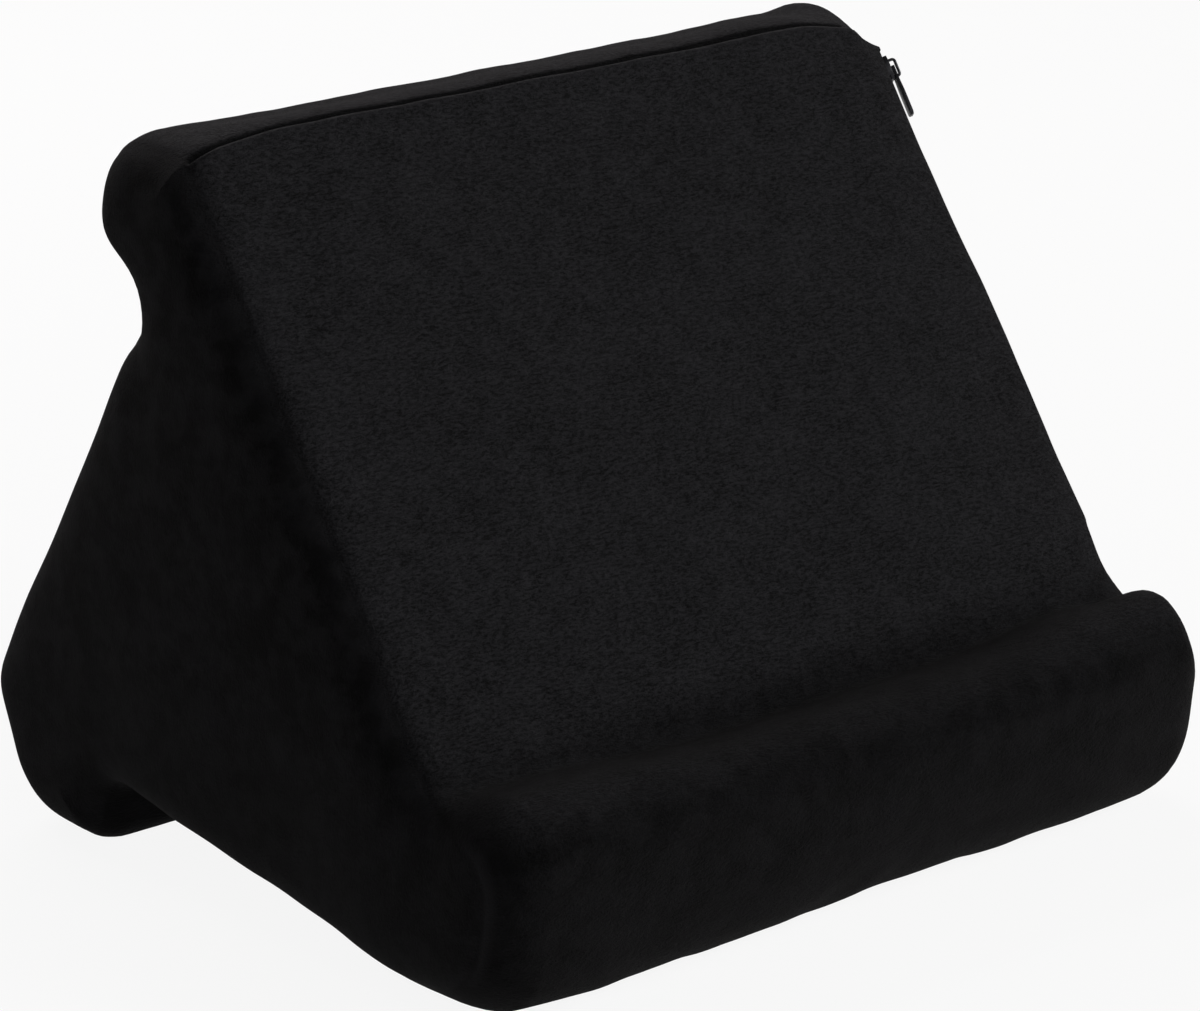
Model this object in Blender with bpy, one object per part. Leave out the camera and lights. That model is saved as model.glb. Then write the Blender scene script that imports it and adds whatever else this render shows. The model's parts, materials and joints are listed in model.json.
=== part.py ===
"""A tablet cushion stand: a wedge of contour-cut foam in a zipped plush cover.

The outline is seen from the left-hand end. Depth runs back from the front of the ledge, and
height runs up from the table. The outline is carried along the width, and its ends are rounded.
Metres, with +X to the right, +Y to the back and +Z up. The origin is under the middle.
"""

import math

import bmesh
import bpy
from mathutils import Matrix, Vector

# Width over both end panels
WIDTH = 0.276

# Sloping face that the tablet leans on
FACE_ANGLE = math.radians(57.7)
FACE_LENGTH = 0.200
CREASE_DEPTH = 0.0375
CREASE_HEIGHT = 0.0594

# Ledge roll in front of the face
LEDGE_LIP_DEPTH = -0.0035
LEDGE_LIP_HEIGHT = 0.0694
LEDGE_BASE_DEPTH = 0.0120
LEDGE_FLAT_END = 0.0500

# Top roll, measured from the top edge of the face
ROLL_TOP_REACH = 0.0387
ROLL_BACK_REACH = 0.0526
ROLL_BACK_DROP = 0.0325
VALLEY_REACH = 0.0289
VALLEY_DROP = 0.0473

# Back foot roll, and the notch in front of it
FOOT_BULGE_DEPTH = 0.2688
FOOT_BULGE_HEIGHT = 0.0474
FOOT_BACK_DEPTH = 0.2558
FOOT_FRONT_DEPTH = 0.2129
NOTCH_DEPTH = 0.2037
NOTCH_HEIGHT = 0.0235

# Roundings of the outline's corners
TOP_EDGE_RADIUS = 0.0070
ROLL_TOP_RADIUS = 0.0215
ROLL_BACK_RADIUS = 0.0178
VALLEY_RADIUS = 0.0080
FOOT_BULGE_RADIUS = 0.0207
FOOT_BACK_RADIUS = 0.0270
FOOT_FRONT_RADIUS = 0.0110
NOTCH_RADIUS = 0.0060
LEDGE_FLAT_RADIUS = 0.0600
LEDGE_BASE_RADIUS = 0.0290
LEDGE_LIP_RADIUS = 0.0220
CREASE_RADIUS = 0.0040
SHARPEST_RADIUS = 0.0015
CORNER_SIDE_SHARE = 0.48

# Rounding from the outline into the end panels; the ledge is fuller at its ends
END_ROUNDING = 0.0170
LEDGE_END_ROUNDING = 0.0200

# Where the end panels are sewn on, as an angle round the end rounding from the end panel.
# The right-hand seam holds the zip and lies further round, out of sight from the front
LEFT_SEAM_ANGLE = math.radians(58.0)
RIGHT_SEAM_ANGLE = math.radians(30.0)

COVER_THICKNESS = 0.0024
CLEARANCE = 0.0003
SEAM_ALLOWANCE = 0.0010
SEAM_PRESS_SPREAD = math.radians(50.0)
ZIP_PRESS_START = math.radians(12.0)
SEAM_PRESS_FADE = 0.0120

# Zip along the right-hand edge of the face
ZIP_START = 0.0090
ZIP_END = 0.1720
ZIP_SLOT_WIDTH = 0.0094
ZIP_SLOT_TAPER = 0.0009
ZIP_CHANNEL_DEPTH = 0.0028
TAPE_WIDTH = 0.0062
TAPE_THICKNESS = 0.0006
TAPE_OVERRUN = 0.0040
COIL_WIDTH = 0.0024
COIL_THICKNESS = 0.0018
COIL_TOOTH_PITCH = 0.0030
COIL_TOOTH_LENGTH = 0.0018
COIL_CORD_WIDTH = 0.0011
COIL_CORD_SINK = 0.0003
COIL_TOP_DEPTH = 0.0006
STOP_LENGTH = 0.0010

# Zip slider and its pull
SLIDER_LENGTH = 0.0078
SLIDER_NOSE_WIDTH = 0.0082
SLIDER_TAIL_WIDTH = 0.0072
SLIDER_PLATE = 0.0010
SLIDER_POST_WIDTH = 0.0006
SLIDER_POST_LENGTH = 0.0024
SLIDER_FLANGE_DEPTH = 0.0010
SLIDER_SHOULDER = 0.25
SLIDER_HIP = 0.40
SLIDER_END_SHARE = 0.40
BRIDGE_SPAN = 0.0056
BRIDGE_WIRE = 0.0010
BRIDGE_CORNER = 0.0008
PULL_LENGTH = 0.0165
PULL_WIDTH = 0.0052
PULL_NECK_WIDTH = 0.0040
PULL_THICKNESS = 0.0010
PULL_EYE_WIDTH = 0.0020
PULL_NECK_END = 0.0050
PULL_WIDE_START = 0.0080
PULL_CORNER = 0.0014

# Smoothness of the modelled roundings
CORNER_STEP = math.radians(15.0)
END_STEP = math.radians(13.0)
SMALL_ARC_STEPS = 4
SMOOTH_ANGLE = math.radians(40.0)

# Outlines are filled at this scale, because a filled curve loses details under a millimetre
FILL_SCALE = 1000.0
WELD_DISTANCE = 0.000001

FULL_SECTION = math.radians(90.0)
QUARTER_TURN = math.radians(90.0)
LEFT = -1
RIGHT = 1
PLUSH_BLACK = (0.012, 0.012, 0.013)
TAPE_BLACK = (0.018, 0.018, 0.019)
COIL_BLACK = (0.010, 0.010, 0.011)
METAL_BLACK = (0.030, 0.030, 0.032)
FOAM_GREY = (0.62, 0.61, 0.58)


def clear_scene():
    """Remove whatever the file already holds."""
    for item in list(bpy.data.objects):
        bpy.data.objects.remove(item)


def make_material(name, colour, roughness, metallic=0.0):
    """A plain surface of one colour."""
    material = bpy.data.materials.new(name)
    material.use_nodes = True
    surface = material.node_tree.nodes["Principled BSDF"]
    surface.inputs["Base Color"].default_value = (*colour, 1.0)
    surface.inputs["Roughness"].default_value = roughness
    surface.inputs["Metallic"].default_value = metallic
    material.diffuse_color = (*colour, 1.0)
    return material


def outline_corners():
    """Corners of the outline as (depth, height, radius, kind of the side that follows)."""
    top_depth = CREASE_DEPTH + FACE_LENGTH * math.cos(FACE_ANGLE)
    top_height = CREASE_HEIGHT + FACE_LENGTH * math.sin(FACE_ANGLE)
    return [
        (top_depth, top_height, TOP_EDGE_RADIUS, "body"),
        (top_depth + ROLL_TOP_REACH, top_height, ROLL_TOP_RADIUS, "body"),
        (top_depth + ROLL_BACK_REACH, top_height - ROLL_BACK_DROP, ROLL_BACK_RADIUS, "body"),
        (top_depth + VALLEY_REACH, top_height - VALLEY_DROP, VALLEY_RADIUS, "body"),
        (FOOT_BULGE_DEPTH, FOOT_BULGE_HEIGHT, FOOT_BULGE_RADIUS, "body"),
        (FOOT_BACK_DEPTH, 0.0, FOOT_BACK_RADIUS, "body"),
        (FOOT_FRONT_DEPTH, 0.0, FOOT_FRONT_RADIUS, "body"),
        (NOTCH_DEPTH, NOTCH_HEIGHT, NOTCH_RADIUS, "body"),
        (LEDGE_FLAT_END, 0.0, LEDGE_FLAT_RADIUS, "ledge"),
        (LEDGE_BASE_DEPTH, 0.0, LEDGE_BASE_RADIUS, "ledge"),
        (LEDGE_LIP_DEPTH, LEDGE_LIP_HEIGHT, LEDGE_LIP_RADIUS, "ledge"),
        (CREASE_DEPTH, CREASE_HEIGHT, CREASE_RADIUS, "body"),
    ]


def inward(direction):
    """Into the foam, for an outline that runs clockwise."""
    return Vector((direction.y, -direction.x))


def turn_between(before, after):
    """Signed angle from one side to the next; convex corners turn by a negative angle."""
    cross = before.x * after.y - before.y * after.x
    return math.atan2(cross, before.dot(after))


def set_in_corners(insets):
    """Corners after each side has moved inwards by the inset of its kind."""
    corners = outline_corners()
    points = [Vector(corner[:2]) for corner in corners]
    count = len(points)
    sides = [(points[(i + 1) % count] - points[i]).normalized() for i in range(count)]
    moved = []
    for i in range(count):
        before = sides[i - 1]
        after = sides[i]
        inset_before = insets[corners[i - 1][3]]
        inset_after = insets[corners[i][3]]
        turn = turn_between(before, after)
        slip = (inset_after - inset_before * math.cos(turn)) / math.sin(-turn)
        point = points[i] + inward(before) * inset_before - before * slip
        inset = 0.5 * (inset_before + inset_after)
        if turn < 0.0:
            radius = max(corners[i][2] - inset, SHARPEST_RADIUS)
        else:
            radius = corners[i][2] + inset
        moved.append((point, radius, before, after, turn))
    return moved


def corner_arc(moved, index):
    """Points of one rounded corner, never longer than nearly half of a side that it joins."""
    point, radius, before, after, turn = moved[index]
    count = len(moved)
    room = CORNER_SIDE_SHARE * min(
        (point - moved[index - 1][0]).length,
        (moved[(index + 1) % count][0] - point).length,
    )
    reach = min(radius * math.tan(abs(turn) / 2.0), room)
    radius = reach / math.tan(abs(turn) / 2.0)
    start = point - before * reach
    bend = 1.0 if turn < 0.0 else -1.0
    centre = start + inward(before) * radius * bend
    steps = max(1, math.ceil(abs(turn) / CORNER_STEP))
    arm = start - centre
    return [centre + Matrix.Rotation(turn * k / steps, 2) @ arm for k in range(steps + 1)]


def face_direction():
    """Up the sloping face."""
    return Vector((math.cos(FACE_ANGLE), math.sin(FACE_ANGLE)))


def zip_stations(first_free):
    """Distances down the face where the zip's slot ends, from the bottom up, clear of the top edge."""
    return [
        ZIP_END + ZIP_SLOT_TAPER,
        ZIP_END,
        max(ZIP_START, first_free + 2.0 * CLEARANCE),
        max(ZIP_START - ZIP_SLOT_TAPER, first_free + CLEARANCE),
    ]


def section_outline(insets):
    """One section as a list of points, from the middle of the top edge round to it again."""
    moved = set_in_corners(insets)
    arcs = [corner_arc(moved, i) for i in range(len(moved))]
    top_arc = arcs[0]
    middle = len(top_arc) // 2
    points = list(top_arc[middle:])
    for arc in arcs[1:]:
        points += arc
    top_corner = Vector(outline_corners()[0][:2])
    up = face_direction()
    on_face = top_corner + inward(up) * insets["body"]
    first_free = (top_corner - top_arc[0]).dot(up)
    points += [on_face - up * distance for distance in zip_stations(first_free)]
    points += top_arc[: middle + 1]
    return points


def section_insets(angle, layer):
    """How far a section's sides lie inside the outline, at an angle round the end rounding."""
    rise = 1.0 - math.sin(angle)
    return {
        "body": layer + (END_ROUNDING - layer) * rise,
        "ledge": layer + (LEDGE_END_ROUNDING - layer) * rise,
    }


def section(angle, layer, end, shift=0.0):
    """Section at an angle round the end rounding, at a depth of layer under the outer surface."""
    inward_x = layer + (END_ROUNDING - layer) * (1.0 - math.cos(angle)) + shift
    x = end * (WIDTH / 2.0 - inward_x)
    middle_depth = overall_depth_middle()
    outline = section_outline(section_insets(angle, layer))
    return [Vector((x, p.x - middle_depth, p.y)) for p in outline]


def overall_depth_middle():
    """Middle of the depth, between the front of the ledge and the back of the foot."""
    still = {"body": 0.0, "ledge": 0.0}
    depths = [p.x for p in section_outline(still)]
    return 0.5 * (min(depths) + max(depths))


def seam_angle(end):
    """Place of an end's seam round the end rounding."""
    return LEFT_SEAM_ANGLE if end == LEFT else RIGHT_SEAM_ANGLE


def slot_share():
    """How far the zip's slot is open at each point of a section, from 0 to 1."""
    count = len(section_outline({"body": 0.0, "ledge": 0.0}))
    top_corner_points = len(corner_arc(set_in_corners({"body": 0.0, "ledge": 0.0}), 0))
    share = [0.0] * count
    last_arc = top_corner_points // 2 + 1
    share[count - last_arc - 3] = 1.0
    share[count - last_arc - 2] = 1.0
    return share


def varied_section(angles, layer, end):
    """A section whose angle differs from point to point."""
    wanted = sorted(set(angles))
    made = {angle: section(angle, layer, end) for angle in wanted}
    return [made[angle][i] for i, angle in enumerate(angles)]


def angle_rows(rim_angles, last_angle, rows):
    """Rows of angles between a rim and one last angle."""
    return [
        [rim + (last_angle - rim) * k / rows for rim in rim_angles]
        for k in range(rows + 1)
    ]


def grid_faces(mesh, rows, flip):
    """Quads between neighbouring rows of vertices that all run the same way."""
    for upper, lower in zip(rows, rows[1:]):
        for i in range(len(upper) - 1):
            corners = (upper[i], upper[i + 1], lower[i + 1], lower[i])
            mesh.faces.new(corners[::-1] if flip else corners)


def ring_faces(mesh, rows, flip):
    """The same, where each row closes on itself."""
    closed = [row + [row[0]] for row in rows]
    grid_faces(mesh, closed, flip)


def finish_object(name, mesh, material, collection):
    """Turn a bmesh into a named object."""
    bmesh.ops.recalc_face_normals(mesh, faces=mesh.faces)
    data = bpy.data.meshes.new(name)
    mesh.to_mesh(data)
    mesh.free()
    data.shade_smooth()
    data.set_sharp_from_angle(angle=SMOOTH_ANGLE)
    data.materials.append(material)
    made = bpy.data.objects.new(name, data)
    collection.objects.link(made)
    return made


def add_rows(mesh, rows):
    """Vertices for rows of points."""
    return [[mesh.verts.new(point) for point in row] for row in rows]


def rounding_rows(angle_span):
    """Number of rows that a stretch of the end rounding needs."""
    return max(1, math.ceil(angle_span / END_STEP))


def seam_half_angle():
    """Half of the gap at the end seams, as an angle."""
    return 0.5 * CLEARANCE / END_ROUNDING


def slot_half_angle():
    """Half of the zip's slot, as an angle."""
    return 0.5 * ZIP_SLOT_WIDTH / END_ROUNDING


def open_strip(row):
    """A closed section's points with its two ends drawn half a clearance apart at the top seam."""
    points = list(row)
    first_pull = (points[1] - points[0]).normalized() * (CLEARANCE / 2.0)
    last_pull = (points[-2] - points[-1]).normalized() * (CLEARANCE / 2.0)
    points[0] = points[0] + first_pull
    points[-1] = points[-1] + last_pull
    return points


def band_rows(layer):
    """Rows of the band's surface from the left-hand seam to the right-hand one."""
    count = len(slot_share())
    left_rim = [LEFT_SEAM_ANGLE + seam_half_angle()] * count
    right_rim = [
        RIGHT_SEAM_ANGLE + max(seam_half_angle(), share * slot_half_angle())
        for share in slot_share()
    ]
    left_steps = rounding_rows(FULL_SECTION - LEFT_SEAM_ANGLE)
    right_steps = rounding_rows(FULL_SECTION - RIGHT_SEAM_ANGLE)
    left_angles = angle_rows(left_rim, FULL_SECTION, left_steps)
    right_angles = angle_rows(right_rim, FULL_SECTION, right_steps)
    left = [varied_section(row, layer, LEFT) for row in left_angles]
    right = [varied_section(row, layer, RIGHT) for row in right_angles]
    return [open_strip(row) for row in left + right[::-1]]


def cover_band(material, collection):
    """The long strip round the outline, closed by a seam along the top edge of the face."""
    mesh = bmesh.new()
    outer = add_rows(mesh, band_rows(0.0))
    inner = add_rows(mesh, band_rows(COVER_THICKNESS))
    grid_faces(mesh, outer, False)
    grid_faces(mesh, inner, True)
    grid_faces(mesh, [inner[0], outer[0]], False)
    grid_faces(mesh, [outer[-1], inner[-1]], False)
    first = [[row[0] for row in inner], [row[0] for row in outer]]
    last = [[row[-1] for row in outer], [row[-1] for row in inner]]
    grid_faces(mesh, first, True)
    grid_faces(mesh, last, True)
    return finish_object("cover_band", mesh, material, collection)


def end_panel_rows(layer, end):
    """Rows of an end panel's surface from its seam to the flat middle."""
    share = slot_share() if end == RIGHT else [0.0] * len(slot_share())
    rim = [seam_angle(end) - max(seam_half_angle(), s * slot_half_angle()) for s in share]
    steps = rounding_rows(seam_angle(end))
    rows = [varied_section(row, layer, end) for row in angle_rows(rim, 0.0, steps)]
    return [row[:-1] for row in rows]


def cover_end(name, end, material, collection):
    """A shaped end panel, turned over the edges of the foam."""
    mesh = bmesh.new()
    outer = add_rows(mesh, end_panel_rows(0.0, end))
    inner = add_rows(mesh, end_panel_rows(COVER_THICKNESS, end))
    ring_faces(mesh, outer, end == LEFT)
    ring_faces(mesh, inner, end == RIGHT)
    ring_faces(mesh, [inner[0], outer[0]], end == LEFT)
    mesh.faces.new(outer[-1])
    mesh.faces.new(inner[-1])
    return finish_object(name, mesh, material, collection)


def seam_press(angle, end):
    """Depth that the plain seams press into the foam; full near the seam, none at the flat end."""
    spread = min(SEAM_PRESS_SPREAD, seam_angle(end))
    share = 2.0 * (1.0 - abs(angle - seam_angle(end)) / spread)
    return SEAM_ALLOWANCE * min(1.0, max(0.0, share))


def zip_press(angle):
    """Depth of the zip's channel in the foam, along the right-hand edge of the face."""
    rising = angle / ZIP_PRESS_START
    fading = 2.0 * (1.0 - (angle - RIGHT_SEAM_ANGLE) / SEAM_PRESS_SPREAD)
    return ZIP_CHANNEL_DEPTH * min(1.0, max(0.0, rising), max(0.0, fading))


def channel_columns():
    """Whether each point of a section lies on the part of the face that the zip's channel covers."""
    count = len(slot_share())
    slots = [i for i, share in enumerate(slot_share()) if share > 0.0]
    return [min(slots) - 1 <= i <= max(slots) + 1 for i in range(count)]


def foam_end_rows(end):
    """Sections of one end of the foam, from the flat end to where the pressed strip fades out."""
    steps = rounding_rows(FULL_SECTION)
    angles = [FULL_SECTION * k / steps for k in range(steps + 1)]
    layer = COVER_THICKNESS + CLEARANCE
    rows = []
    for angle in angles:
        row = section(angle, layer + seam_press(angle, end), end)
        if end == RIGHT:
            deeper = section(angle, layer + zip_press(angle), end)
            row = [deep if in_channel else plain
                   for plain, deep, in_channel in zip(row, deeper, channel_columns())]
        rows.append(row)
    rows.append(section(FULL_SECTION, layer, end, SEAM_PRESS_FADE))
    return [row[:-1] for row in rows]


def foam_core(material, collection):
    """One contour-cut block of foam that fills the cover."""
    mesh = bmesh.new()
    rows = add_rows(mesh, foam_end_rows(LEFT) + foam_end_rows(RIGHT)[::-1])
    ring_faces(mesh, rows, False)
    mesh.faces.new(rows[0])
    mesh.faces.new(rows[-1])
    return finish_object("foam_core", mesh, material, collection)


def zip_frame(distance):
    """Frame on the zip's centre line: X towards the end panel, Y up the face, Z outwards."""
    up = face_direction()
    out = -inward(up)
    sideways = math.cos(RIGHT_SEAM_ANGLE)
    forward = math.sin(RIGHT_SEAM_ANGLE)
    across = Vector((forward, -sideways * out.x, -sideways * out.y))
    normal = Vector((sideways, forward * out.x, forward * out.y))
    along = Vector((0.0, up.x, up.y))
    top_corner = Vector(outline_corners()[0][:2])
    inset = END_ROUNDING * (1.0 - forward)
    spot = top_corner - up * distance - out * inset
    x = WIDTH / 2.0 - END_ROUNDING * (1.0 - sideways)
    frame = Matrix((across, along, normal)).transposed().to_4x4()
    frame.translation = Vector((x, spot.x - overall_depth_middle(), spot.y))
    return frame


def face_start(angle, layer):
    """Distance down the face at which the top edge's rounding ends in a section."""
    top_corner = Vector(outline_corners()[0][:2])
    arc_start = corner_arc(set_in_corners(section_insets(angle, layer)), 0)[0]
    return (top_corner - arc_start).dot(face_direction())


def face_point(distance, angle, layer):
    """Point on the right-hand rounding of the face, under the outer surface by layer."""
    up = face_direction()
    inset = section_insets(angle, layer)["body"]
    inward_x = layer + (END_ROUNDING - layer) * (1.0 - math.cos(angle))
    spot = Vector(outline_corners()[0][:2]) - up * distance + inward(up) * inset
    return Vector((WIDTH / 2.0 - inward_x, spot.x - overall_depth_middle(), spot.y))


def coil_inner():
    """Distance of the coils from the zip's centre line, clear of the slider's post."""
    return SLIDER_POST_WIDTH / 2.0 + CLEARANCE


def zip_tape(name, side, material, collection):
    """A woven tape that curves with the rounding, under the cut edge of one cover piece."""
    top_layer = COVER_THICKNESS + CLEARANCE
    radius = END_ROUNDING - top_layer
    near = coil_inner() / radius
    far = TAPE_WIDTH / radius
    steps = rounding_rows(far - near)
    turns = [side * (near + (far - near) * k / steps) for k in range(steps + 1)]
    angles = [RIGHT_SEAM_ANGLE + turn for turn in turns]
    bottom_layer = top_layer + TAPE_THICKNESS
    starts = [max(ZIP_START, face_start(angle, bottom_layer) + CLEARANCE) for angle in angles]
    mesh = bmesh.new()
    layers = []
    for layer in (top_layer, bottom_layer):
        head = [face_point(start, angle, layer) for start, angle in zip(starts, angles)]
        tail = [face_point(ZIP_END + TAPE_OVERRUN, angle, layer) for angle in angles]
        layers.append(add_rows(mesh, [head, tail]))
    upper, lower = layers
    grid_faces(mesh, upper, side > 0)
    grid_faces(mesh, lower, side < 0)
    loop = upper[0] + upper[1][::-1]
    under = lower[0] + lower[1][::-1]
    ring_faces(mesh, [loop, under], side < 0)
    return finish_object(name, mesh, material, collection)


def outline_solid(name, points, low, high, collection):
    """A flat outline in XY, filled and made thick from low to high, as a closed mesh."""
    curve = bpy.data.curves.new(name, "CURVE")
    curve.dimensions = "2D"
    curve.fill_mode = "BOTH"
    curve.extrude = FILL_SCALE * (high - low) / 2.0
    spline = curve.splines.new("POLY")
    spline.points.add(len(points) - 1)
    for target, (x, y) in zip(spline.points, points):
        target.co = (FILL_SCALE * x, FILL_SCALE * y, 0.0, 1.0)
    spline.use_cyclic_u = True
    drawn = bpy.data.objects.new(name + "_outline", curve)
    collection.objects.link(drawn)
    bpy.context.view_layer.update()
    evaluated = drawn.evaluated_get(bpy.context.evaluated_depsgraph_get())
    data = bpy.data.meshes.new_from_object(evaluated)
    bpy.data.objects.remove(drawn)
    mesh = bmesh.new()
    mesh.from_mesh(data)
    bmesh.ops.scale(mesh, verts=mesh.verts, vec=(1.0 / FILL_SCALE,) * 3)
    bmesh.ops.remove_doubles(mesh, verts=mesh.verts, dist=WELD_DISTANCE)
    bmesh.ops.translate(mesh, verts=mesh.verts, vec=(0.0, 0.0, (low + high) / 2.0))
    bmesh.ops.recalc_face_normals(mesh, faces=mesh.faces)
    mesh.to_mesh(data)
    mesh.free()
    data.name = name
    made = bpy.data.objects.new(name, data)
    collection.objects.link(made)
    return made


def apply_boolean(target, other, operation):
    """Cut or join, and keep the result as the target's mesh."""
    change = target.modifiers.new(operation.lower(), "BOOLEAN")
    change.operation = operation
    change.solver = "EXACT"
    change.object = other
    bpy.context.view_layer.update()
    evaluated = target.evaluated_get(bpy.context.evaluated_depsgraph_get())
    data = bpy.data.meshes.new_from_object(evaluated)
    target.modifiers.clear()
    target.data = data


def hide_cutter(item):
    """Show a helper as a wire only."""
    item.hide_render = True
    item.display_type = "WIRE"


def boxes(name, spans, collection):
    """One object of separate boxes, each given as its low and high corner."""
    mesh = bmesh.new()
    for low, high in spans:
        size = Vector(high) - Vector(low)
        middle = (Vector(high) + Vector(low)) / 2.0
        place = Matrix.Translation(middle) @ Matrix.Diagonal((*size, 1.0))
        bmesh.ops.create_cube(mesh, size=1.0, matrix=place)
    data = bpy.data.meshes.new(name)
    mesh.to_mesh(data)
    mesh.free()
    made = bpy.data.objects.new(name, data)
    collection.objects.link(made)
    return made


def tooth_spans(side, length):
    """Boxes of one row of coil turns; the two rows are half a pitch out of step."""
    inner = coil_inner()
    root = inner + COIL_WIDTH - 0.5 * COIL_CORD_WIDTH
    reach = sorted((-side * inner, -side * root))
    low = -COIL_TOP_DEPTH - COIL_THICKNESS
    shift = COIL_TOOTH_PITCH * (0.75 if side > 0 else 0.25)
    count = int((length - shift - COIL_TOOTH_LENGTH) / COIL_TOOTH_PITCH) + 1
    spans = []
    for k in range(count):
        start = -(shift + k * COIL_TOOTH_PITCH)
        end = start - COIL_TOOTH_LENGTH
        spans.append(((reach[0], end, low), (reach[1], start, -COIL_TOP_DEPTH)))
    return spans


def zip_coil(name, side, material, collection, cutters):
    """One row of coil turns, held by the cord along its outer edge."""
    start = ZIP_START + STOP_LENGTH + 2.0 * CLEARANCE
    length = ZIP_END - ZIP_START - 2.0 * (STOP_LENGTH + 2.0 * CLEARANCE)
    outer = coil_inner() + COIL_WIDTH
    reach = sorted((-side * outer, -side * (outer - COIL_CORD_WIDTH)))
    low = -COIL_TOP_DEPTH - COIL_THICKNESS + COIL_CORD_SINK
    high = -COIL_TOP_DEPTH - COIL_CORD_SINK
    made = boxes(name, [((reach[0], -length, low), (reach[1], 0.0, high))], collection)
    turns = boxes(name + "_turns", tooth_spans(side, length), cutters)
    apply_boolean(made, turns, "UNION")
    hide_cutter(turns)
    made.data.name = name
    made.data.materials.clear()
    made.data.materials.append(material)
    made.matrix_world = zip_frame(start)
    return made


def zip_stop(name, distance, material, collection):
    """A crimped stop across both coils; distance is that of its upper end."""
    half = coil_inner() + COIL_WIDTH
    low = -COIL_TOP_DEPTH - COIL_THICKNESS
    span = ((-half, -STOP_LENGTH, low), (half, 0.0, -COIL_TOP_DEPTH))
    made = boxes(name, [span], collection)
    made.data.materials.append(material)
    made.matrix_world = zip_frame(distance)
    return made


def slider_outline(length, nose, tail):
    """Shield shape of a slider plate: widest at the nose and narrower at the tail."""
    half = length / 2.0
    return [
        (-nose / 2.0, SLIDER_SHOULDER * half),
        (-nose * SLIDER_END_SHARE, half),
        (nose * SLIDER_END_SHARE, half),
        (nose / 2.0, SLIDER_SHOULDER * half),
        (tail / 2.0, -SLIDER_HIP * half),
        (tail * SLIDER_END_SHARE, -half),
        (-tail * SLIDER_END_SHARE, -half),
        (-tail / 2.0, -SLIDER_HIP * half),
    ]


def channel_outline(half_width):
    """Passage through the slider, split at the nose by the post."""
    far = SLIDER_LENGTH
    post = SLIDER_POST_WIDTH / 2.0
    post_end = SLIDER_LENGTH / 2.0 - SLIDER_POST_LENGTH
    return [
        (-half_width, -far),
        (half_width, -far),
        (half_width, far),
        (post, far),
        (post, post_end),
        (-post, post_end),
        (-post, far),
        (-half_width, far),
    ]


def tape_bottom(half_width):
    """Lowest point of the tapes within a half width of the zip's centre line."""
    radius = END_ROUNDING - COVER_THICKNESS - CLEARANCE - TAPE_THICKNESS
    return math.sqrt(radius ** 2 - half_width ** 2) - END_ROUNDING


def slider_top():
    """Height of the slider's upper face over the cover."""
    return -COIL_TOP_DEPTH + CLEARANCE + SLIDER_PLATE


def bridge_rise():
    """Height of the bridge's centre line over the slider's upper face."""
    return PULL_THICKNESS + 4.0 * CLEARANCE + BRIDGE_WIRE / 2.0


def quarter_arc(across, along, radius):
    """Points of a quarter circle from (across, along - radius) to (across + radius, along)."""
    turns = [QUARTER_TURN * k / SMALL_ARC_STEPS for k in range(SMALL_ARC_STEPS + 1)]
    return [
        (across + radius * (1.0 - math.cos(turn)), along - radius * (1.0 - math.sin(turn)))
        for turn in turns
    ]


def bridge(collection):
    """The arched wire on top of the slider that holds the pull."""
    curve = bpy.data.curves.new("slider_bridge", "CURVE")
    curve.dimensions = "3D"
    curve.bevel_depth = BRIDGE_WIRE / 2.0
    curve.bevel_resolution = 2
    curve.use_fill_caps = True
    spline = curve.splines.new("POLY")
    half = BRIDGE_SPAN / 2.0
    base = slider_top() - SLIDER_PLATE / 2.0
    top = slider_top() + bridge_rise()
    points = [(-half, base)] + quarter_arc(-half, top, BRIDGE_CORNER)
    points += [(-y, z) for y, z in points[::-1]]
    spline.points.add(len(points) - 1)
    for target, (y, z) in zip(spline.points, points):
        target.co = (0.0, y, z, 1.0)
    drawn = bpy.data.objects.new("slider_bridge_curve", curve)
    collection.objects.link(drawn)
    bpy.context.view_layer.update()
    evaluated = drawn.evaluated_get(bpy.context.evaluated_depsgraph_get())
    data = bpy.data.meshes.new_from_object(evaluated)
    bpy.data.objects.remove(drawn)
    mesh = bmesh.new()
    mesh.from_mesh(data)
    bmesh.ops.remove_doubles(mesh, verts=mesh.verts, dist=WELD_DISTANCE)
    bmesh.ops.recalc_face_normals(mesh, faces=mesh.faces)
    mesh.to_mesh(data)
    mesh.free()
    made = bpy.data.objects.new("slider_bridge", data)
    collection.objects.link(made)
    return made


def slider_rest():
    """Distance of the slider's middle down the face when the zip is shut."""
    return ZIP_START + STOP_LENGTH + 2.0 * CLEARANCE + SLIDER_LENGTH / 2.0


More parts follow.
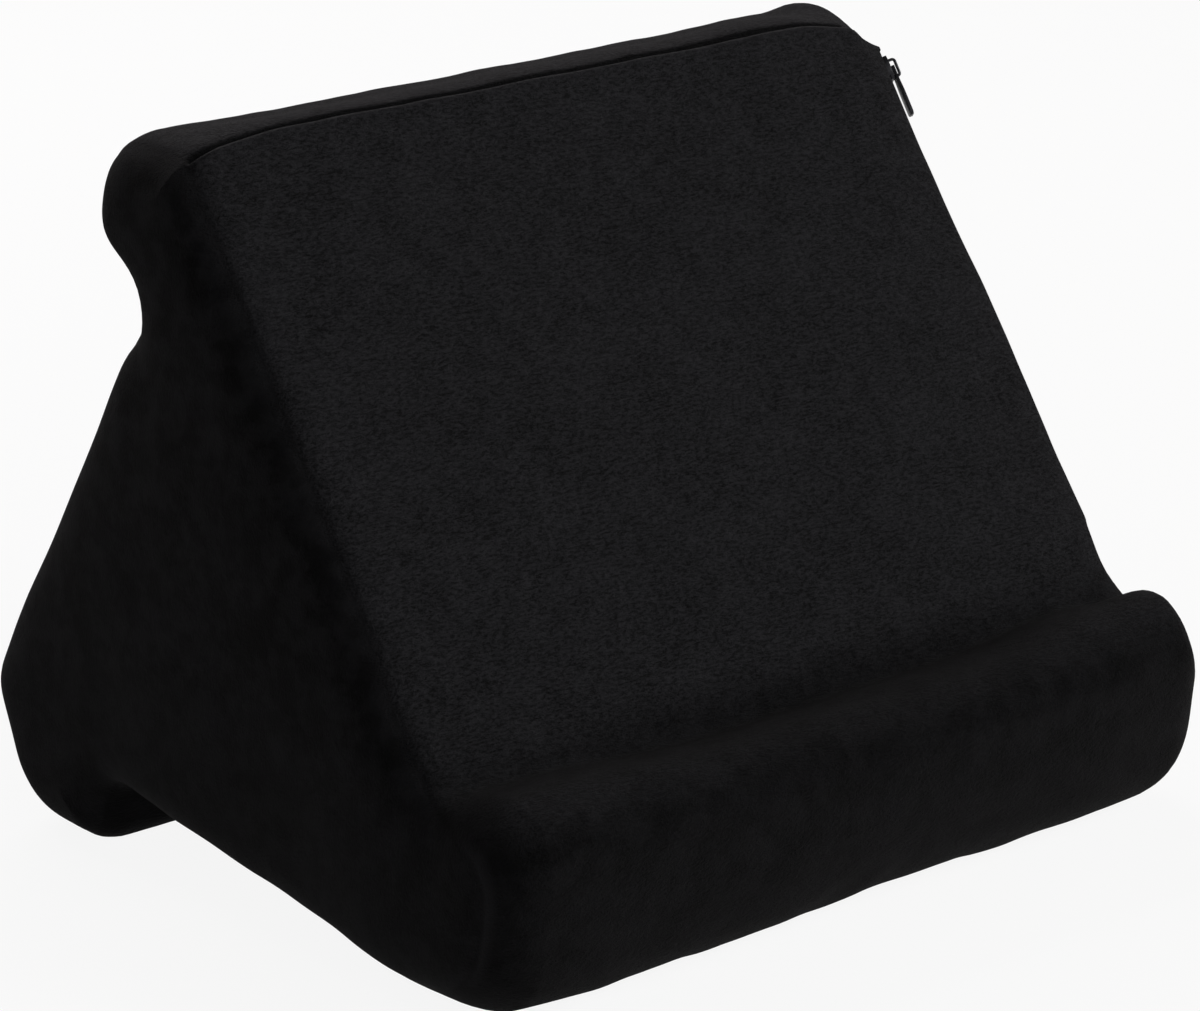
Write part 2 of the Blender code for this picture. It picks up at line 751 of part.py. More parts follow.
def zip_slider(material, collection, cutters):
    """Two plates joined by the post at the nose, with side flanges and a bridge."""
    bottom = tape_bottom(SLIDER_NOSE_WIDTH / 2.0) - CLEARANCE - SLIDER_PLATE
    outline = slider_outline(SLIDER_LENGTH, SLIDER_NOSE_WIDTH, SLIDER_TAIL_WIDTH)
    made = outline_solid("zip_slider", outline, bottom, slider_top(), collection)
    coil_reach = coil_inner() + COIL_WIDTH + CLEARANCE
    roof = slider_top() - SLIDER_PLATE
    flange = roof - SLIDER_FLANGE_DEPTH
    slot = outline_solid(
        "slider_tape_slot", channel_outline(SLIDER_NOSE_WIDTH), bottom + SLIDER_PLATE, flange, cutters
    )
    groove = outline_solid(
        "slider_coil_groove", channel_outline(coil_reach), flange - CLEARANCE, roof, cutters
    )
    arch = bridge(cutters)
    apply_boolean(made, slot, "DIFFERENCE")
    apply_boolean(made, groove, "DIFFERENCE")
    apply_boolean(made, arch, "UNION")
    for helper in (slot, groove, arch):
        hide_cutter(helper)
    made.data.materials.clear()
    made.data.materials.append(material)
    made.data.name = made.name
    made.matrix_world = zip_frame(slider_rest())
    return made


def pull_outline():
    """The whole tab, with a narrow neck and a wider rounded end."""
    bar = PULL_THICKNESS / 2.0
    neck = PULL_NECK_WIDTH / 2.0
    wide = PULL_WIDTH / 2.0
    rounded_end = [(-x, -y) for x, y in quarter_arc(-wide, PULL_LENGTH, PULL_CORNER)]
    right = [(neck, bar), (neck, -PULL_NECK_END), (wide, -PULL_WIDE_START)] + rounded_end
    left = [(-x, y) for x, y in right[::-1]]
    return right + left


def zip_pull(material, collection, cutters):
    """A flat tab whose eye goes round the slider's bridge."""
    half = PULL_THICKNESS / 2.0
    made = outline_solid("zip_pull", pull_outline(), -half, half, collection)
    eye_end = -(BRIDGE_SPAN / 2.0 + BRIDGE_WIRE / 2.0 + 2.0 * CLEARANCE)
    eye_half = PULL_EYE_WIDTH / 2.0
    eye = outline_solid(
        "pull_eye",
        [(-eye_half, -half), (eye_half, -half), (eye_half, eye_end), (-eye_half, eye_end)],
        -PULL_THICKNESS,
        PULL_THICKNESS,
        cutters,
    )
    apply_boolean(made, eye, "DIFFERENCE")
    hide_cutter(eye)
    made.data.materials.clear()
    made.data.materials.append(material)
    made.data.name = made.name
    return made


def pull_hinge_height():
    """Height of the pull's axis over the cover."""
    return slider_top() + 2.0 * CLEARANCE + PULL_THICKNESS / 2.0


def mount_pull(pull, slider):
    """Hang the pull from the slider, with its origin on the axis that it swings about."""
    bpy.context.view_layer.update()
    lift = Matrix.Translation((0.0, 0.0, pull_hinge_height()))
    pull.parent = slider
    pull.matrix_world = slider.matrix_world @ lift


def build():
    """Make every piece of the cushion stand."""
    clear_scene()
    collection = bpy.data.collections.new("tablet_cushion_stand")
    cutters = bpy.data.collections.new("cutters")
    bpy.context.scene.collection.children.link(collection)
    bpy.context.scene.collection.children.link(cutters)
    plush = make_material("plush", PLUSH_BLACK, 0.95)
    tape = make_material("zip_tape", TAPE_BLACK, 0.85)
    coil = make_material("zip_coil", COIL_BLACK, 0.45)
    metal = make_material("black_metal", METAL_BLACK, 0.30, 0.8)
    foam = make_material("foam", FOAM_GREY, 0.90)
    foam_core(foam, collection)
    cover_band(plush, collection)
    cover_end("cover_end_left", LEFT, plush, collection)
    cover_end("cover_end_right", RIGHT, plush, collection)
    zip_tape("zip_tape_front", 1.0, tape, collection)
    zip_tape("zip_tape_side", -1.0, tape, collection)
    zip_coil("zip_coil_front", 1.0, coil, collection, cutters)
    zip_coil("zip_coil_side", -1.0, coil, collection, cutters)
    zip_stop("zip_stop_top", ZIP_START + CLEARANCE, metal, collection)
    zip_stop("zip_stop_bottom", ZIP_END - STOP_LENGTH - CLEARANCE, metal, collection)
    slider = zip_slider(metal, collection, cutters)
    pull = zip_pull(metal, collection, cutters)
    mount_pull(pull, slider)


build()
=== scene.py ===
"""Plush cover, zip and studio of the tablet cushion stand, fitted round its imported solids."""

import json
import math

import bmesh
import bpy
import numpy
from bpy.props import FloatProperty, FloatVectorProperty, IntProperty, PointerProperty
from mathutils import Matrix, Vector, kdtree, noise
from mathutils.bvhtree import BVHTree
from mathutils.geometry import delaunay_2d_cdt
from mathutils.interpolate import poly_3d_calc

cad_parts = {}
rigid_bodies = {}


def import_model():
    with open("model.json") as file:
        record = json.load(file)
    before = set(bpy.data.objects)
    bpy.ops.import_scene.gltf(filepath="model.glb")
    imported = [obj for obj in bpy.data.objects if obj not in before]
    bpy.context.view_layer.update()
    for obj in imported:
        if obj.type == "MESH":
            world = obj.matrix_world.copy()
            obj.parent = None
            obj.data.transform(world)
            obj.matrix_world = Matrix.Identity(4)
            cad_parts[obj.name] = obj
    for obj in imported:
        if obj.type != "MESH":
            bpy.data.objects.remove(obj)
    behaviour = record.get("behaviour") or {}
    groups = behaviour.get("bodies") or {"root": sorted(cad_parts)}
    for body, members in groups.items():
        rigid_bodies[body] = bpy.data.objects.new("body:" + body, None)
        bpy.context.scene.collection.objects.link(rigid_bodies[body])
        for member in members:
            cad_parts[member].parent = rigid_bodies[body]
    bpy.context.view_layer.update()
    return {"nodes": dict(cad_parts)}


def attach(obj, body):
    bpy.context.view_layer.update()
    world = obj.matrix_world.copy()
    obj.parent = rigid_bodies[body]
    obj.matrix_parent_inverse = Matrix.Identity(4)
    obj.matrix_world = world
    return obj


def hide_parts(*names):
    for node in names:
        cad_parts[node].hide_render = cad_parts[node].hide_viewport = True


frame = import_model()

bl_info = {
    "name": "Tablet cushion stand",
    "version": (1, 0, 0),
    "blender": (4, 5, 0),
    "location": "View3D > Sidebar > Cushion",
    "description": "Makes the plush cover, the zip and the studio of a tablet cushion stand",
    "category": "Object",
}

# Outline seen from the left-hand end: depth from the ledge's front, height, corner radius, kind
OUTLINE = (
    (0.14437, 0.22845, 0.0070, "body"),
    (0.18307, 0.22845, 0.0215, "body"),
    (0.19697, 0.19595, 0.0178, "body"),
    (0.17327, 0.18115, 0.0080, "body"),
    (0.26880, 0.04740, 0.0207, "body"),
    (0.25580, 0.00000, 0.0270, "body"),
    (0.21290, 0.00000, 0.0110, "body"),
    (0.20370, 0.02350, 0.0060, "body"),
    (0.05000, 0.00000, 0.0600, "ledge"),
    (0.01200, 0.00000, 0.0290, "ledge"),
    (-0.00350, 0.06940, 0.0220, "ledge"),
    (0.03750, 0.05940, 0.0040, "body"),
)
DEPTH_MIDDLE = 0.1337658
TOP_CORNER = 0
CREASE_CORNER = 11
SHARPEST_RADIUS = 0.0015
CORNER_SIDE_SHARE = 0.48
FEWEST_ARC_STEPS = 3
QUARTER_TURN = math.pi / 2.0

MM = 0.001

# Distances down the face between which the zip's trough opens, and closes again
ZIP_SHUT = (0.0081, 0.0090)
ZIP_OPEN = (0.1720, 0.1729)
ZIP_MARGIN = 0.6 * MM

# Rows of points across an end seam, away from the end panel: place and depth under the cover,
# in millimetres, of the plain seam and of the zip's trough
END_SEAM = (
    (-8.40, 0.00, -8.40, 0.00),
    (-6.50, 0.00, -7.40, 0.00),
    (-4.60, 0.03, -6.20, 0.05),
    (-3.00, 0.08, -5.40, 0.25),
    (-1.80, 0.18, -4.95, 0.70),
    (-0.90, 0.32, -4.75, 1.60),
    (-0.35, 0.45, -4.65, 5.40),
    (0.00, 0.50, 0.00, 5.50),
    (0.35, 0.40, 4.65, 5.40),
    (0.90, 0.14, 4.75, 1.60),
    (1.80, -0.12, 4.95, 0.70),
    (3.00, -0.18, 5.40, 0.25),
    (4.60, -0.08, 6.20, 0.05),
    (6.50, 0.00, 7.40, 0.00),
    (9.00, 0.00, 9.00, 0.00),
)

# Columns of points across the top seam, towards the roll: place and depth under the cover,
# in millimetres. The face's edge stands up as a lip, and the roll's edge is tucked in
TOP_SEAM = (
    (-3.50, -0.30),
    (-2.60, -0.90),
    (-1.70, -1.50),
    (-0.90, -1.20),
    (-0.35, 1.40),
    (0.00, 3.30),
    (0.35, 3.40),
    (0.90, 3.10),
    (1.70, 2.00),
    (2.60, 0.60),
    (3.50, 0.15),
)
# Where the top seam gapes wider, towards the left-hand end, and by how much
TOP_SEAM_GAPE = (-0.08, -0.125)
TOP_SEAM_WIDER = 0.5
TOP_SEAM_FADE = 2.0 * MM

# Depths over which the cover counts as the ledge's front
LEDGE_DEPTHS = (0.015, 0.045)

# Where the stuffing pushes the cover out of its plain shape. Each form has its direction, its
# size, the distance from the middle of the width where it starts and where it is whole, the side
# or sides it is on, and the depth, height and radius of the round place that it covers
LEFT = -1
RIGHT = 1
BOTH = 0
WHOLE_WIDTH = (-1.0, -0.5)
FORM_CORE = 0.25
FORMS = (
    ("out", 0.0022, (0.100, 0.130), LEFT, (0.020, 0.050), 0.090),
    ("out", 0.0074, (0.112, 0.132), RIGHT, (0.062, 0.104), 0.150),
    ("out", -0.0040, (0.112, 0.132), RIGHT, (0.006, 0.060), 0.048),
    ("out", -0.0075, (0.112, 0.137), RIGHT, (0.147, 0.237), 0.021),
    ("up", -0.0042, (0.121, 0.135), RIGHT, (0.147, 0.233), 0.018),
    ("up", 0.0019, (0.108, 0.128), RIGHT, (0.174, 0.228), 0.024),
    ("up", -0.0050, (0.100, 0.128), RIGHT, (0.041, 0.067), 0.021),
    ("up", 0.0018, (0.100, 0.134), LEFT, (0.262, 0.004), 0.036),
    ("up", 0.0055, (0.035, 0.122), BOTH, (0.030, 0.066), 0.034),
    ("up", -0.0076, (0.122, 0.138), RIGHT, (0.002, 0.066), 0.036),
    ("up", 0.0014, (0.104, 0.120), RIGHT, (0.020, 0.069), 0.022),
    ("up", 0.0012, WHOLE_WIDTH, BOTH, (0.170, 0.230), 0.032),
    ("up", 0.0012, (0.030, 0.085), RIGHT, (0.168, 0.230), 0.030),
    ("up", 0.0026, WHOLE_WIDTH, BOTH, (0.146, 0.230), 0.020),
    ("up", -0.0030, (0.098, 0.126), BOTH, (0.146, 0.230), 0.020),
    ("back", 0.0010, (0.090, 0.130), LEFT, (0.190, 0.205), 0.045),
    ("back", -0.0024, (0.060, 0.120), LEFT, (0.173, 0.181), 0.022),
    ("back", -0.0014, WHOLE_WIDTH, BOTH, (0.000, 0.020), 0.045),
    ("up", 0.0028, (0.075, 0.128), BOTH, (0.000, 0.000), 0.034),
    ("up", 0.0026, (0.090, 0.130), LEFT, (0.014, 0.000), 0.060),
)

# Soft folds in the end panels: where each starts and ends, its depth and its half width
FOLDS = (
    ((0.182, 0.176), (0.150, 0.150), 0.0022, 0.0050),
    ((0.176, 0.168), (0.163, 0.120), 0.0018, 0.0045),
    ((0.160, 0.214), (0.140, 0.196), 0.0014, 0.0050),
    ((0.204, 0.030), (0.186, 0.072), 0.0018, 0.0060),
    ((0.040, 0.058), (0.064, 0.040), 0.0016, 0.0055),
)

# A fold fades from the first to the second share of its half length, and has a ridge beside it
FOLD_TAPER = (0.35, 1.0)
FOLD_RIDGE_SHARE = 0.5
FOLD_RIDGE_PLACE = 1.7

# The cloth is held near the seams: full hold, and the distance over which it is let go
HOLD_START = 1.6
HOLD_REACH = 4.0 * MM
CLOTH_QUALITY = 6

# How near to the rim an end panel's own points may come, as a share of their spacing
PANEL_RIM_GAP = 0.7
PANEL_TOLERANCE = 1e-7
FAR_FROM_SEAM = 0.05
ON_SEAM = 0.1 * MM

# Where the cover keeps its plain place for the zip: distances down the face where that begins and
# ends, and how far it reaches to the sides
ZIP_HOLD_BEGIN = (0.0040, 0.0075)
ZIP_HOLD_END = (0.1850, 0.1920)
ZIP_HOLD_SIDES = 0.0051
ZIP_HOLD_REACH = 0.0112
ZIP_HOLD_NARROWER = 0.0036
ZIP_HOLD_NARROWING = (0.06, 0.17)
ZIP_SIDE = 0.1

# Puckers along the end seams: their size, how far their spacing drifts, and how their strength
# comes and goes. Noises change so many times to a metre
PUCKER_HEIGHT = 0.45 * MM
PUCKER_PITCH = 7.5 * MM
PUCKER_REACH = 7.0 * MM
PUCKER_START = (0.3 * MM, 2.5 * MM)
PUCKER_DRIFT = 3.0
PUCKER_DRIFT_CHANGES = 60.0
PUCKER_END_SHIFT = 5.0
PUCKER_CALMEST = 0.35
PUCKER_CALM_CHANGES = 22.0
PUCKER_CALM_SHIFT = 3.0
PUCKER_CALM_SPAN = (-0.3, 0.5)

# Slight lumps of the filling: height, and how many to a metre
BROAD_LUMPS = (0.9 * MM, 18.0)
SMALL_LUMPS = (0.28 * MM, 55.0)
SMALL_LUMPS_SHIFT = (7.0, 3.0, 1.0)
LUMPS_ROUGHNESS = (0.6, 2.2, 2)
PANEL_LUMPIER = 1.3

# The ends' hips are averaged within this distance of the end panels
RELAX_REACH = 0.018
RELAX_SHARE = 0.5

# Painted light and shade along the seams: depth of the painted shade in a seam's groove and its
# width, the top seam's part with painted shade, the painted highlight beside the ledge's seam and
# how much groove shade it takes away, the painted highlight on the top seam's lip, and the painted
# light on an end panel's brink
GROOVE_SHADE = 0.5
GROOVE_SHADE_WIDTH = 0.8 * MM
TOP_GROOVE_SHADE = ((-0.5 * MM, 0.2 * MM), (2.7 * MM, 3.7 * MM))
LEDGE_HIGHLIGHT_HEIGHTS = (0.052, 0.068)
LEDGE_HIGHLIGHT_DEPTHS = (-0.120, -0.105)
LEDGE_HIGHLIGHT_PLACE = 0.5 * MM
LEDGE_HIGHLIGHT_WIDTH = 0.5 * MM
LEDGE_GROOVE_SHADE_LOSS = 0.8
LIP_HIGHLIGHT = 0.6
LIP_HIGHLIGHT_PLACE = 1.2 * MM
LIP_HIGHLIGHT_WIDTH = 0.6 * MM
BRINK_LIGHT_REACH = (1.0 * MM, 13.0 * MM)


class CushionSizes(bpy.types.PropertyGroup):
    """Sizes of the cushion and its cover."""

    width: FloatProperty(
        name="Width", description="Width over both end panels", default=0.276, unit="LENGTH"
    )
    end_rounding: FloatProperty(
        name="End rounding", description="Rounding into the end panels",
        default=0.017, unit="LENGTH",
    )
    ledge_rounding: FloatProperty(
        name="Ledge rounding", description="Rounding at the ledge's ends",
        default=0.020, unit="LENGTH",
    )
    left_seam: FloatProperty(
        name="Left seam", description="Place of the left-hand end seam round the rounding",
        default=math.radians(58.0), subtype="ANGLE",
    )
    ledge_seam: FloatProperty(
        name="Ledge seam", description="Place of the left-hand end seam round the ledge's rounding",
        default=math.radians(27.0), subtype="ANGLE",
    )
    right_seam: FloatProperty(
        name="Right seam",
        description="Place of the right-hand end seam and its zip round the rounding",
        default=math.radians(30.0), subtype="ANGLE",
    )
    spacing: FloatProperty(
        name="Spacing", description="Distance between points", default=0.0025, unit="LENGTH"
    )
    panel_spacing: FloatProperty(
        name="Panel spacing", description="Distance between points of an end panel",
        default=0.0034, unit="LENGTH",
    )
    voxel: FloatProperty(
        name="Cloth grid", description="Grid of the mesh that is blown up",
        default=0.005, unit="LENGTH",
    )
    pressure: FloatProperty(name="Pressure", description="Pressure inside the cover", default=4.0)
    frames: IntProperty(name="Frames", description="Length of the cloth simulation", default=20)
    swell_cap: FloatProperty(
        name="Swell cap", description="Most that a point swells", default=0.005, unit="LENGTH"
    )
    take_in: FloatProperty(
        name="Take-in", description="How far the cover starts inside its final surface",
        default=0.0003, unit="LENGTH",
    )
    relax_rounds: IntProperty(
        name="Relaxing", description="How often the ends are averaged", default=14
    )
    give: FloatProperty(
        name="Give", description="Share of the cloth's movement that the cover keeps", default=0.45
    )


class CushionColours(bpy.types.PropertyGroup):
    """Colours of the cushion's materials."""

    plush: FloatVectorProperty(
        name="Plush", description="Colour of the pile",
        default=(0.0100, 0.0099, 0.0108), subtype="COLOR", min=0, max=1,
    )
    sheen: FloatVectorProperty(
        name="Sheen", description="Tint of the pile's sheen",
        default=(1.0, 0.93, 0.90), subtype="COLOR", min=0, max=1,
    )
    tape: FloatVectorProperty(
        name="Tape", description="Colour of the zip tape",
        default=(0.014, 0.014, 0.015), subtype="COLOR", min=0, max=1,
    )
    coil: FloatVectorProperty(
        name="Coil", description="Colour of the zip coil",
        default=(0.012, 0.012, 0.013), subtype="COLOR", min=0, max=1,
    )
    metal: FloatVectorProperty(
        name="Metal", description="Colour of the slider and pull",
        default=(0.022, 0.022, 0.024), subtype="COLOR", min=0, max=1,
    )


class StudioSettings(bpy.types.PropertyGroup):
    """Ground, lamps and camera."""

    ground: FloatVectorProperty(
        name="Ground", description="Colour of the floor",
        default=(0.60, 0.60, 0.60), subtype="COLOR", min=0, max=1,
    )
    ground_glow: FloatProperty(
        name="Ground glow", description="Share of the floor that shows as plain white", default=0.90
    )
    world_light: FloatProperty(name="World light", description="Light from all round", default=0.09)
    key_light: FloatProperty(
        name="Key light", description="Power of the large front lamp", default=43.0
    )
    top_light: FloatProperty(
        name="Top light", description="Power of the lamp behind the top", default=34.0
    )
    fill_light: FloatProperty(
        name="Fill light", description="Power of the weak lamp at the left", default=9.0
    )
    lens: FloatProperty(name="Lens", description="Focal length on a 36 mm sensor", default=131.58)


def sizes():
    """The cushion's sizes."""
    return bpy.context.scene.cushion_sizes


def colours():
    """The cushion's colours."""
    return bpy.context.scene.cushion_colours


def inward(direction):
    """Into the cushion, for an outline that runs clockwise."""
    return Vector((direction.y, -direction.x))


class Ring:
    """One section through the cushion, set in from the outline at its body and at its ledge."""

    def __init__(self, body_inset, ledge_inset):
        insets = {"body": body_inset, "ledge": ledge_inset}
        points = [Vector(corner[:2]) for corner in OUTLINE]
        count = len(points)
        self.sides = [(points[(i + 1) % count] - points[i]).normalized() for i in range(count)]
        self.corners = []
        self.turns = []
        radii = []
        for i in range(count):
            before, after = self.sides[i - 1], self.sides[i]
            inset_before, inset_after = insets[OUTLINE[i - 1][3]], insets[OUTLINE[i][3]]
            turn = math.atan2(before.x * after.y - before.y * after.x, before.dot(after))
            slip = (inset_after - inset_before * math.cos(turn)) / math.sin(-turn)
            self.corners.append(points[i] + inward(before) * inset_before - before * slip)
            self.turns.append(turn)
            inset = 0.5 * (inset_before + inset_after)
            radius = OUTLINE[i][2] - inset if turn < 0.0 else OUTLINE[i][2] + inset
            radii.append(max(radius, SHARPEST_RADIUS))
        self.reaches = []
        for i in range(count):
            bend = math.tan(abs(self.turns[i]) / 2.0)
            room = CORNER_SIDE_SHARE * min(
                (self.corners[i] - self.corners[i - 1]).length,
                (self.corners[(i + 1) % count] - self.corners[i]).length,
            )
            self.reaches.append(min(radii[i] * bend, room))
        bends = [math.tan(abs(turn) / 2.0) for turn in self.turns]
        self.radii = [reach / bend for reach, bend in zip(self.reaches, bends)]
        self.body_inset = body_inset

    def on_arc(self, i, share):
        """Point and outward direction on a corner's arc."""
        before = self.sides[i - 1]
        start = self.corners[i] - before * self.reaches[i]
        bend = 1.0 if self.turns[i] < 0.0 else -1.0
        centre = start + inward(before) * self.radii[i] * bend
        arm = Matrix.Rotation(self.turns[i] * share, 2) @ (start - centre)
        return centre + arm, arm.normalized() * bend

    def on_side(self, i, share):
        """Point and outward direction on the straight part that follows a corner."""
        count = len(self.corners)
        start = self.corners[i] + self.sides[i] * self.reaches[i]
        end = self.corners[(i + 1) % count] - self.sides[i] * self.reaches[(i + 1) % count]
        return start.lerp(end, share), -inward(self.sides[i])

    def face_span(self):
        """Where the face's straight part starts and ends, as distances down from the top corner."""
        up = self.sides[CREASE_CORNER]
        top = Vector(OUTLINE[TOP_CORNER][:2])
        upper = self.corners[TOP_CORNER] - up * self.reaches[TOP_CORNER]
        lower = self.corners[CREASE_CORNER] + up * self.reaches[CREASE_CORNER]
        return (top - upper).dot(up), (top - lower).dot(up)

    def on_face(self, distance, nominal_span):
        """Point and outward direction on the face, with the zip's part at its own distance."""
        first, last = self.face_span()
        marks = (nominal_span[0], ZIP_SHUT[1], ZIP_OPEN[1], nominal_span[1])
        places = (first, max(ZIP_SHUT[1], first + ZIP_MARGIN), ZIP_OPEN[1], last)
        for k in range(3):
            if distance <= marks[k + 1] or k == 2:
                share = (distance - marks[k]) / (marks[k + 1] - marks[k])
                down = places[k] + (places[k + 1] - places[k]) * share
                break
        up = self.sides[CREASE_CORNER]
        point = Vector(OUTLINE[TOP_CORNER][:2]) - up * down + inward(up) * self.body_inset
        return point, -inward(up)


class Column:
    """One lengthwise line of the cover: where it lies on every section."""

    def __init__(self, where, index, place, seam_offset=None, seam_depth=0.0):
        self.where = where
        self.index = index
        self.place = place
        self.seam_offset = seam_offset
        self.seam_depth = seam_depth
        self.along = 0.0
        self.share = 0.0
        self.low = 0.0

    def at(self, ring, span):
        """Point and outward direction on a section."""
        if self.where == "arc":
            return ring.on_arc(self.index, self.place)
        if self.where == "side":
            return ring.on_side(self.index, self.place)
        return ring.on_face(self.place, span)


def zip_share(distance):
    """How far the zip's slot is open at a distance down the face, from 0 to 1."""
    opening = (distance - ZIP_SHUT[0]) / (ZIP_SHUT[1] - ZIP_SHUT[0])
    closing = (ZIP_OPEN[1] - distance) / (ZIP_OPEN[1] - ZIP_OPEN[0])
    return max(0.0, min(1.0, opening, closing))


def face_distances(span, spacing):
    """Distances down the face of its columns, from the crease up."""
    first, last = span
    fixed = [first, ZIP_SHUT[0] - ZIP_MARGIN, ZIP_SHUT[0], 0.5 * sum(ZIP_SHUT), ZIP_SHUT[1]]
    fixed += [ZIP_SHUT[1] + MM, ZIP_OPEN[0] - MM, ZIP_OPEN[0], 0.5 * sum(ZIP_OPEN), ZIP_OPEN[1]]
    fixed += [ZIP_OPEN[1] + MM, last]
    distances = [fixed[0]]
    for low, high in zip(fixed, fixed[1:]):
        steps = max(1, round((high - low) / spacing))
        distances += [low + (high - low) * (k + 1) / steps for k in range(steps)]
    return distances[::-1]


def make_columns():
    """Every column of the cover, from the top seam over the roll and round to it again."""
    flat = Ring(0.0, 0.0)
    span = flat.face_span()
    spacing = sizes().spacing
    arc_length = flat.radii[TOP_CORNER] * abs(flat.turns[TOP_CORNER])
    columns = []
    places = [(place * MM, depth * MM) for place, depth in TOP_SEAM]
    middle = len(places) // 2
    for place, depth in places[middle:]:
        columns.append(Column("arc", TOP_CORNER, 0.5 + place / arc_length, place, depth))
    for i in range(len(OUTLINE)):
        if i != TOP_CORNER:
            arc = flat.radii[i] * abs(flat.turns[i])
            steps = max(FEWEST_ARC_STEPS, math.ceil(arc / spacing))
            columns += [Column("arc", i, k / steps) for k in range(steps + 1)]
        if i == CREASE_CORNER:
            columns += [Column("face", i, d) for d in face_distances(span, spacing)[1:-1]]
            continue
        start, _ = flat.on_side(i, 0.0)
        end, _ = flat.on_side(i, 1.0)
        steps = max(1, round((end - start).length / spacing))
        columns += [Column("side", i, k / steps) for k in range(1, steps)]
    for place, depth in places[:middle]:
        columns.append(Column("arc", TOP_CORNER, 0.5 + place / arc_length, place, depth))
    previous = None
    along = 0.0
    for column in columns:
        point, _ = column.at(flat, span)
        if previous is not None:
            along += (point - previous).length
        previous = point
        column.along = along
        if column.where == "face":
            column.share = zip_share(column.place)
        else:
            column.low = 1.0 - smoothstep(*LEDGE_DEPTHS, point.x)
    return columns, span


def seam_angle(end):
    """Place of an end's seam round the end rounding."""
    return sizes().left_seam if end == LEFT else sizes().right_seam


def end_rows(end):
    """Rows from an end panel's flat middle to the straight part: plain and zip angle and depth."""
    size = sizes()
    across = []
    for place, depth, zip_place, zip_depth in END_SEAM:
        plain = seam_angle(end) + place * MM / size.end_rounding
        opened = seam_angle(end) + zip_place * MM / size.end_rounding
        across.append((plain, depth * MM, opened, zip_depth * MM))
    first, last = across[0][0], across[-1][0]
    steps = max(1, round(first * size.end_rounding / size.spacing))
    before = [(first * k / steps, 0.0, first * k / steps, 0.0) for k in range(steps)]
    left_over = QUARTER_TURN - last
    steps = max(1, round(left_over * size.end_rounding / size.spacing))
    after = []
    for k in range(1, steps + 1):
        angle = last + left_over * k / steps
        after.append((angle, 0.0, angle, 0.0))
    return before + across + after


def note_on(column, end, from_seam, panel, sunk=0.0, share=0.0):
    """What lies at a point: its column and end, its distance from the end seam, whether it is on a
    panel, how deep it is sunk, and how far the zip's trough is open there."""
    return {
        "column": column, "end": end, "from_seam": from_seam,
        "panel": panel, "sunk": sunk, "share": share,
    }


class Skin:
    """The cover's surface as rows of points with their outward directions and what lies there."""

    def __init__(self):
        self.columns, self.span = make_columns()
        self.rings = {}
        self.points = []
        self.normals = []
        self.notes = []
        self.rows = []

    def ring(self, angle):
        """The section at an angle round the end rounding."""
        key = round(angle, 6)
        if key not in self.rings:
            size = sizes()
            rise = 1.0 - math.sin(angle)
            self.rings[key] = Ring(size.end_rounding * rise, size.ledge_rounding * rise)
        return self.rings[key]

    def add(self, point, normal, note):
        """One point, and its number."""
        self.points.append(point)
        self.normals.append(normal)
        self.notes.append(note)
        return len(self.points) - 1

    def on_cover(self, column, end, angle, x=None):
        """Point and outward direction on the plain cover."""
        size = sizes()
        point, out = column.at(self.ring(angle), self.span)
        if x is None:
            x = end * (size.width / 2.0 - size.end_rounding * (1.0 - math.cos(angle)))
        normal = Vector((end * math.cos(angle), out.x * math.sin(angle), out.y * math.sin(angle)))
        return Vector((x, point.x - DEPTH_MIDDLE, point.y)), normal

    def drawn_round(self, angle, share):
        """An angle round the left-hand rounding, with the ledge's seam drawn towards the panel."""
        seam = seam_angle(LEFT)
        drawn = sizes().ledge_seam
        if angle < seam:
            moved = angle * drawn / seam
        else:
            moved = drawn + (angle - seam) * (QUARTER_TURN - drawn) / (QUARTER_TURN - seam)
        return angle + (moved - angle) * share

    def add_end(self, end):
        """Rows of one end, from its flat middle to the straight part."""
        size = sizes()
        made = []
        for plain, depth, opened, zip_depth in end_rows(end):
            row = []
            for column in self.columns:
                share = column.share if end == RIGHT else 0.0
                angle = plain + (opened - plain) * share
                from_seam = abs(angle - seam_angle(end)) * size.end_rounding
                if end == LEFT:
                    angle = self.drawn_round(angle, column.low)
                point, normal = self.on_cover(column, end, angle)
                sunk = depth + (zip_depth - depth) * share
                note = note_on(column, end, from_seam, plain < seam_angle(end), sunk, share)
                row.append(self.add(point, normal, note))
            made.append(row)
        return made

    def add_straight(self):
        """Rows of the straight part between the two ends."""
        size = sizes()
        half = size.width / 2.0 - size.end_rounding
        steps = round(2.0 * half / size.spacing)
        made = []
        for k in range(1, steps):
            x = -half + 2.0 * half * k / steps
            row = []
            for column in self.columns:
                point, normal = self.on_cover(column, LEFT, QUARTER_TURN, x)
                turned = QUARTER_TURN - seam_angle(LEFT if x < 0.0 else RIGHT)
                from_seam = turned * size.end_rounding + half - abs(x)
                row.append(self.add(point, normal, note_on(column, BOTH, from_seam, False)))
            made.append(row)
        return made

    def build(self):
        """All rows, from the left-hand panel to the right-hand one."""
        left = self.add_end(LEFT)
        straight = self.add_straight()
        right = self.add_end(RIGHT)
        self.rows = left + straight + right[::-1]


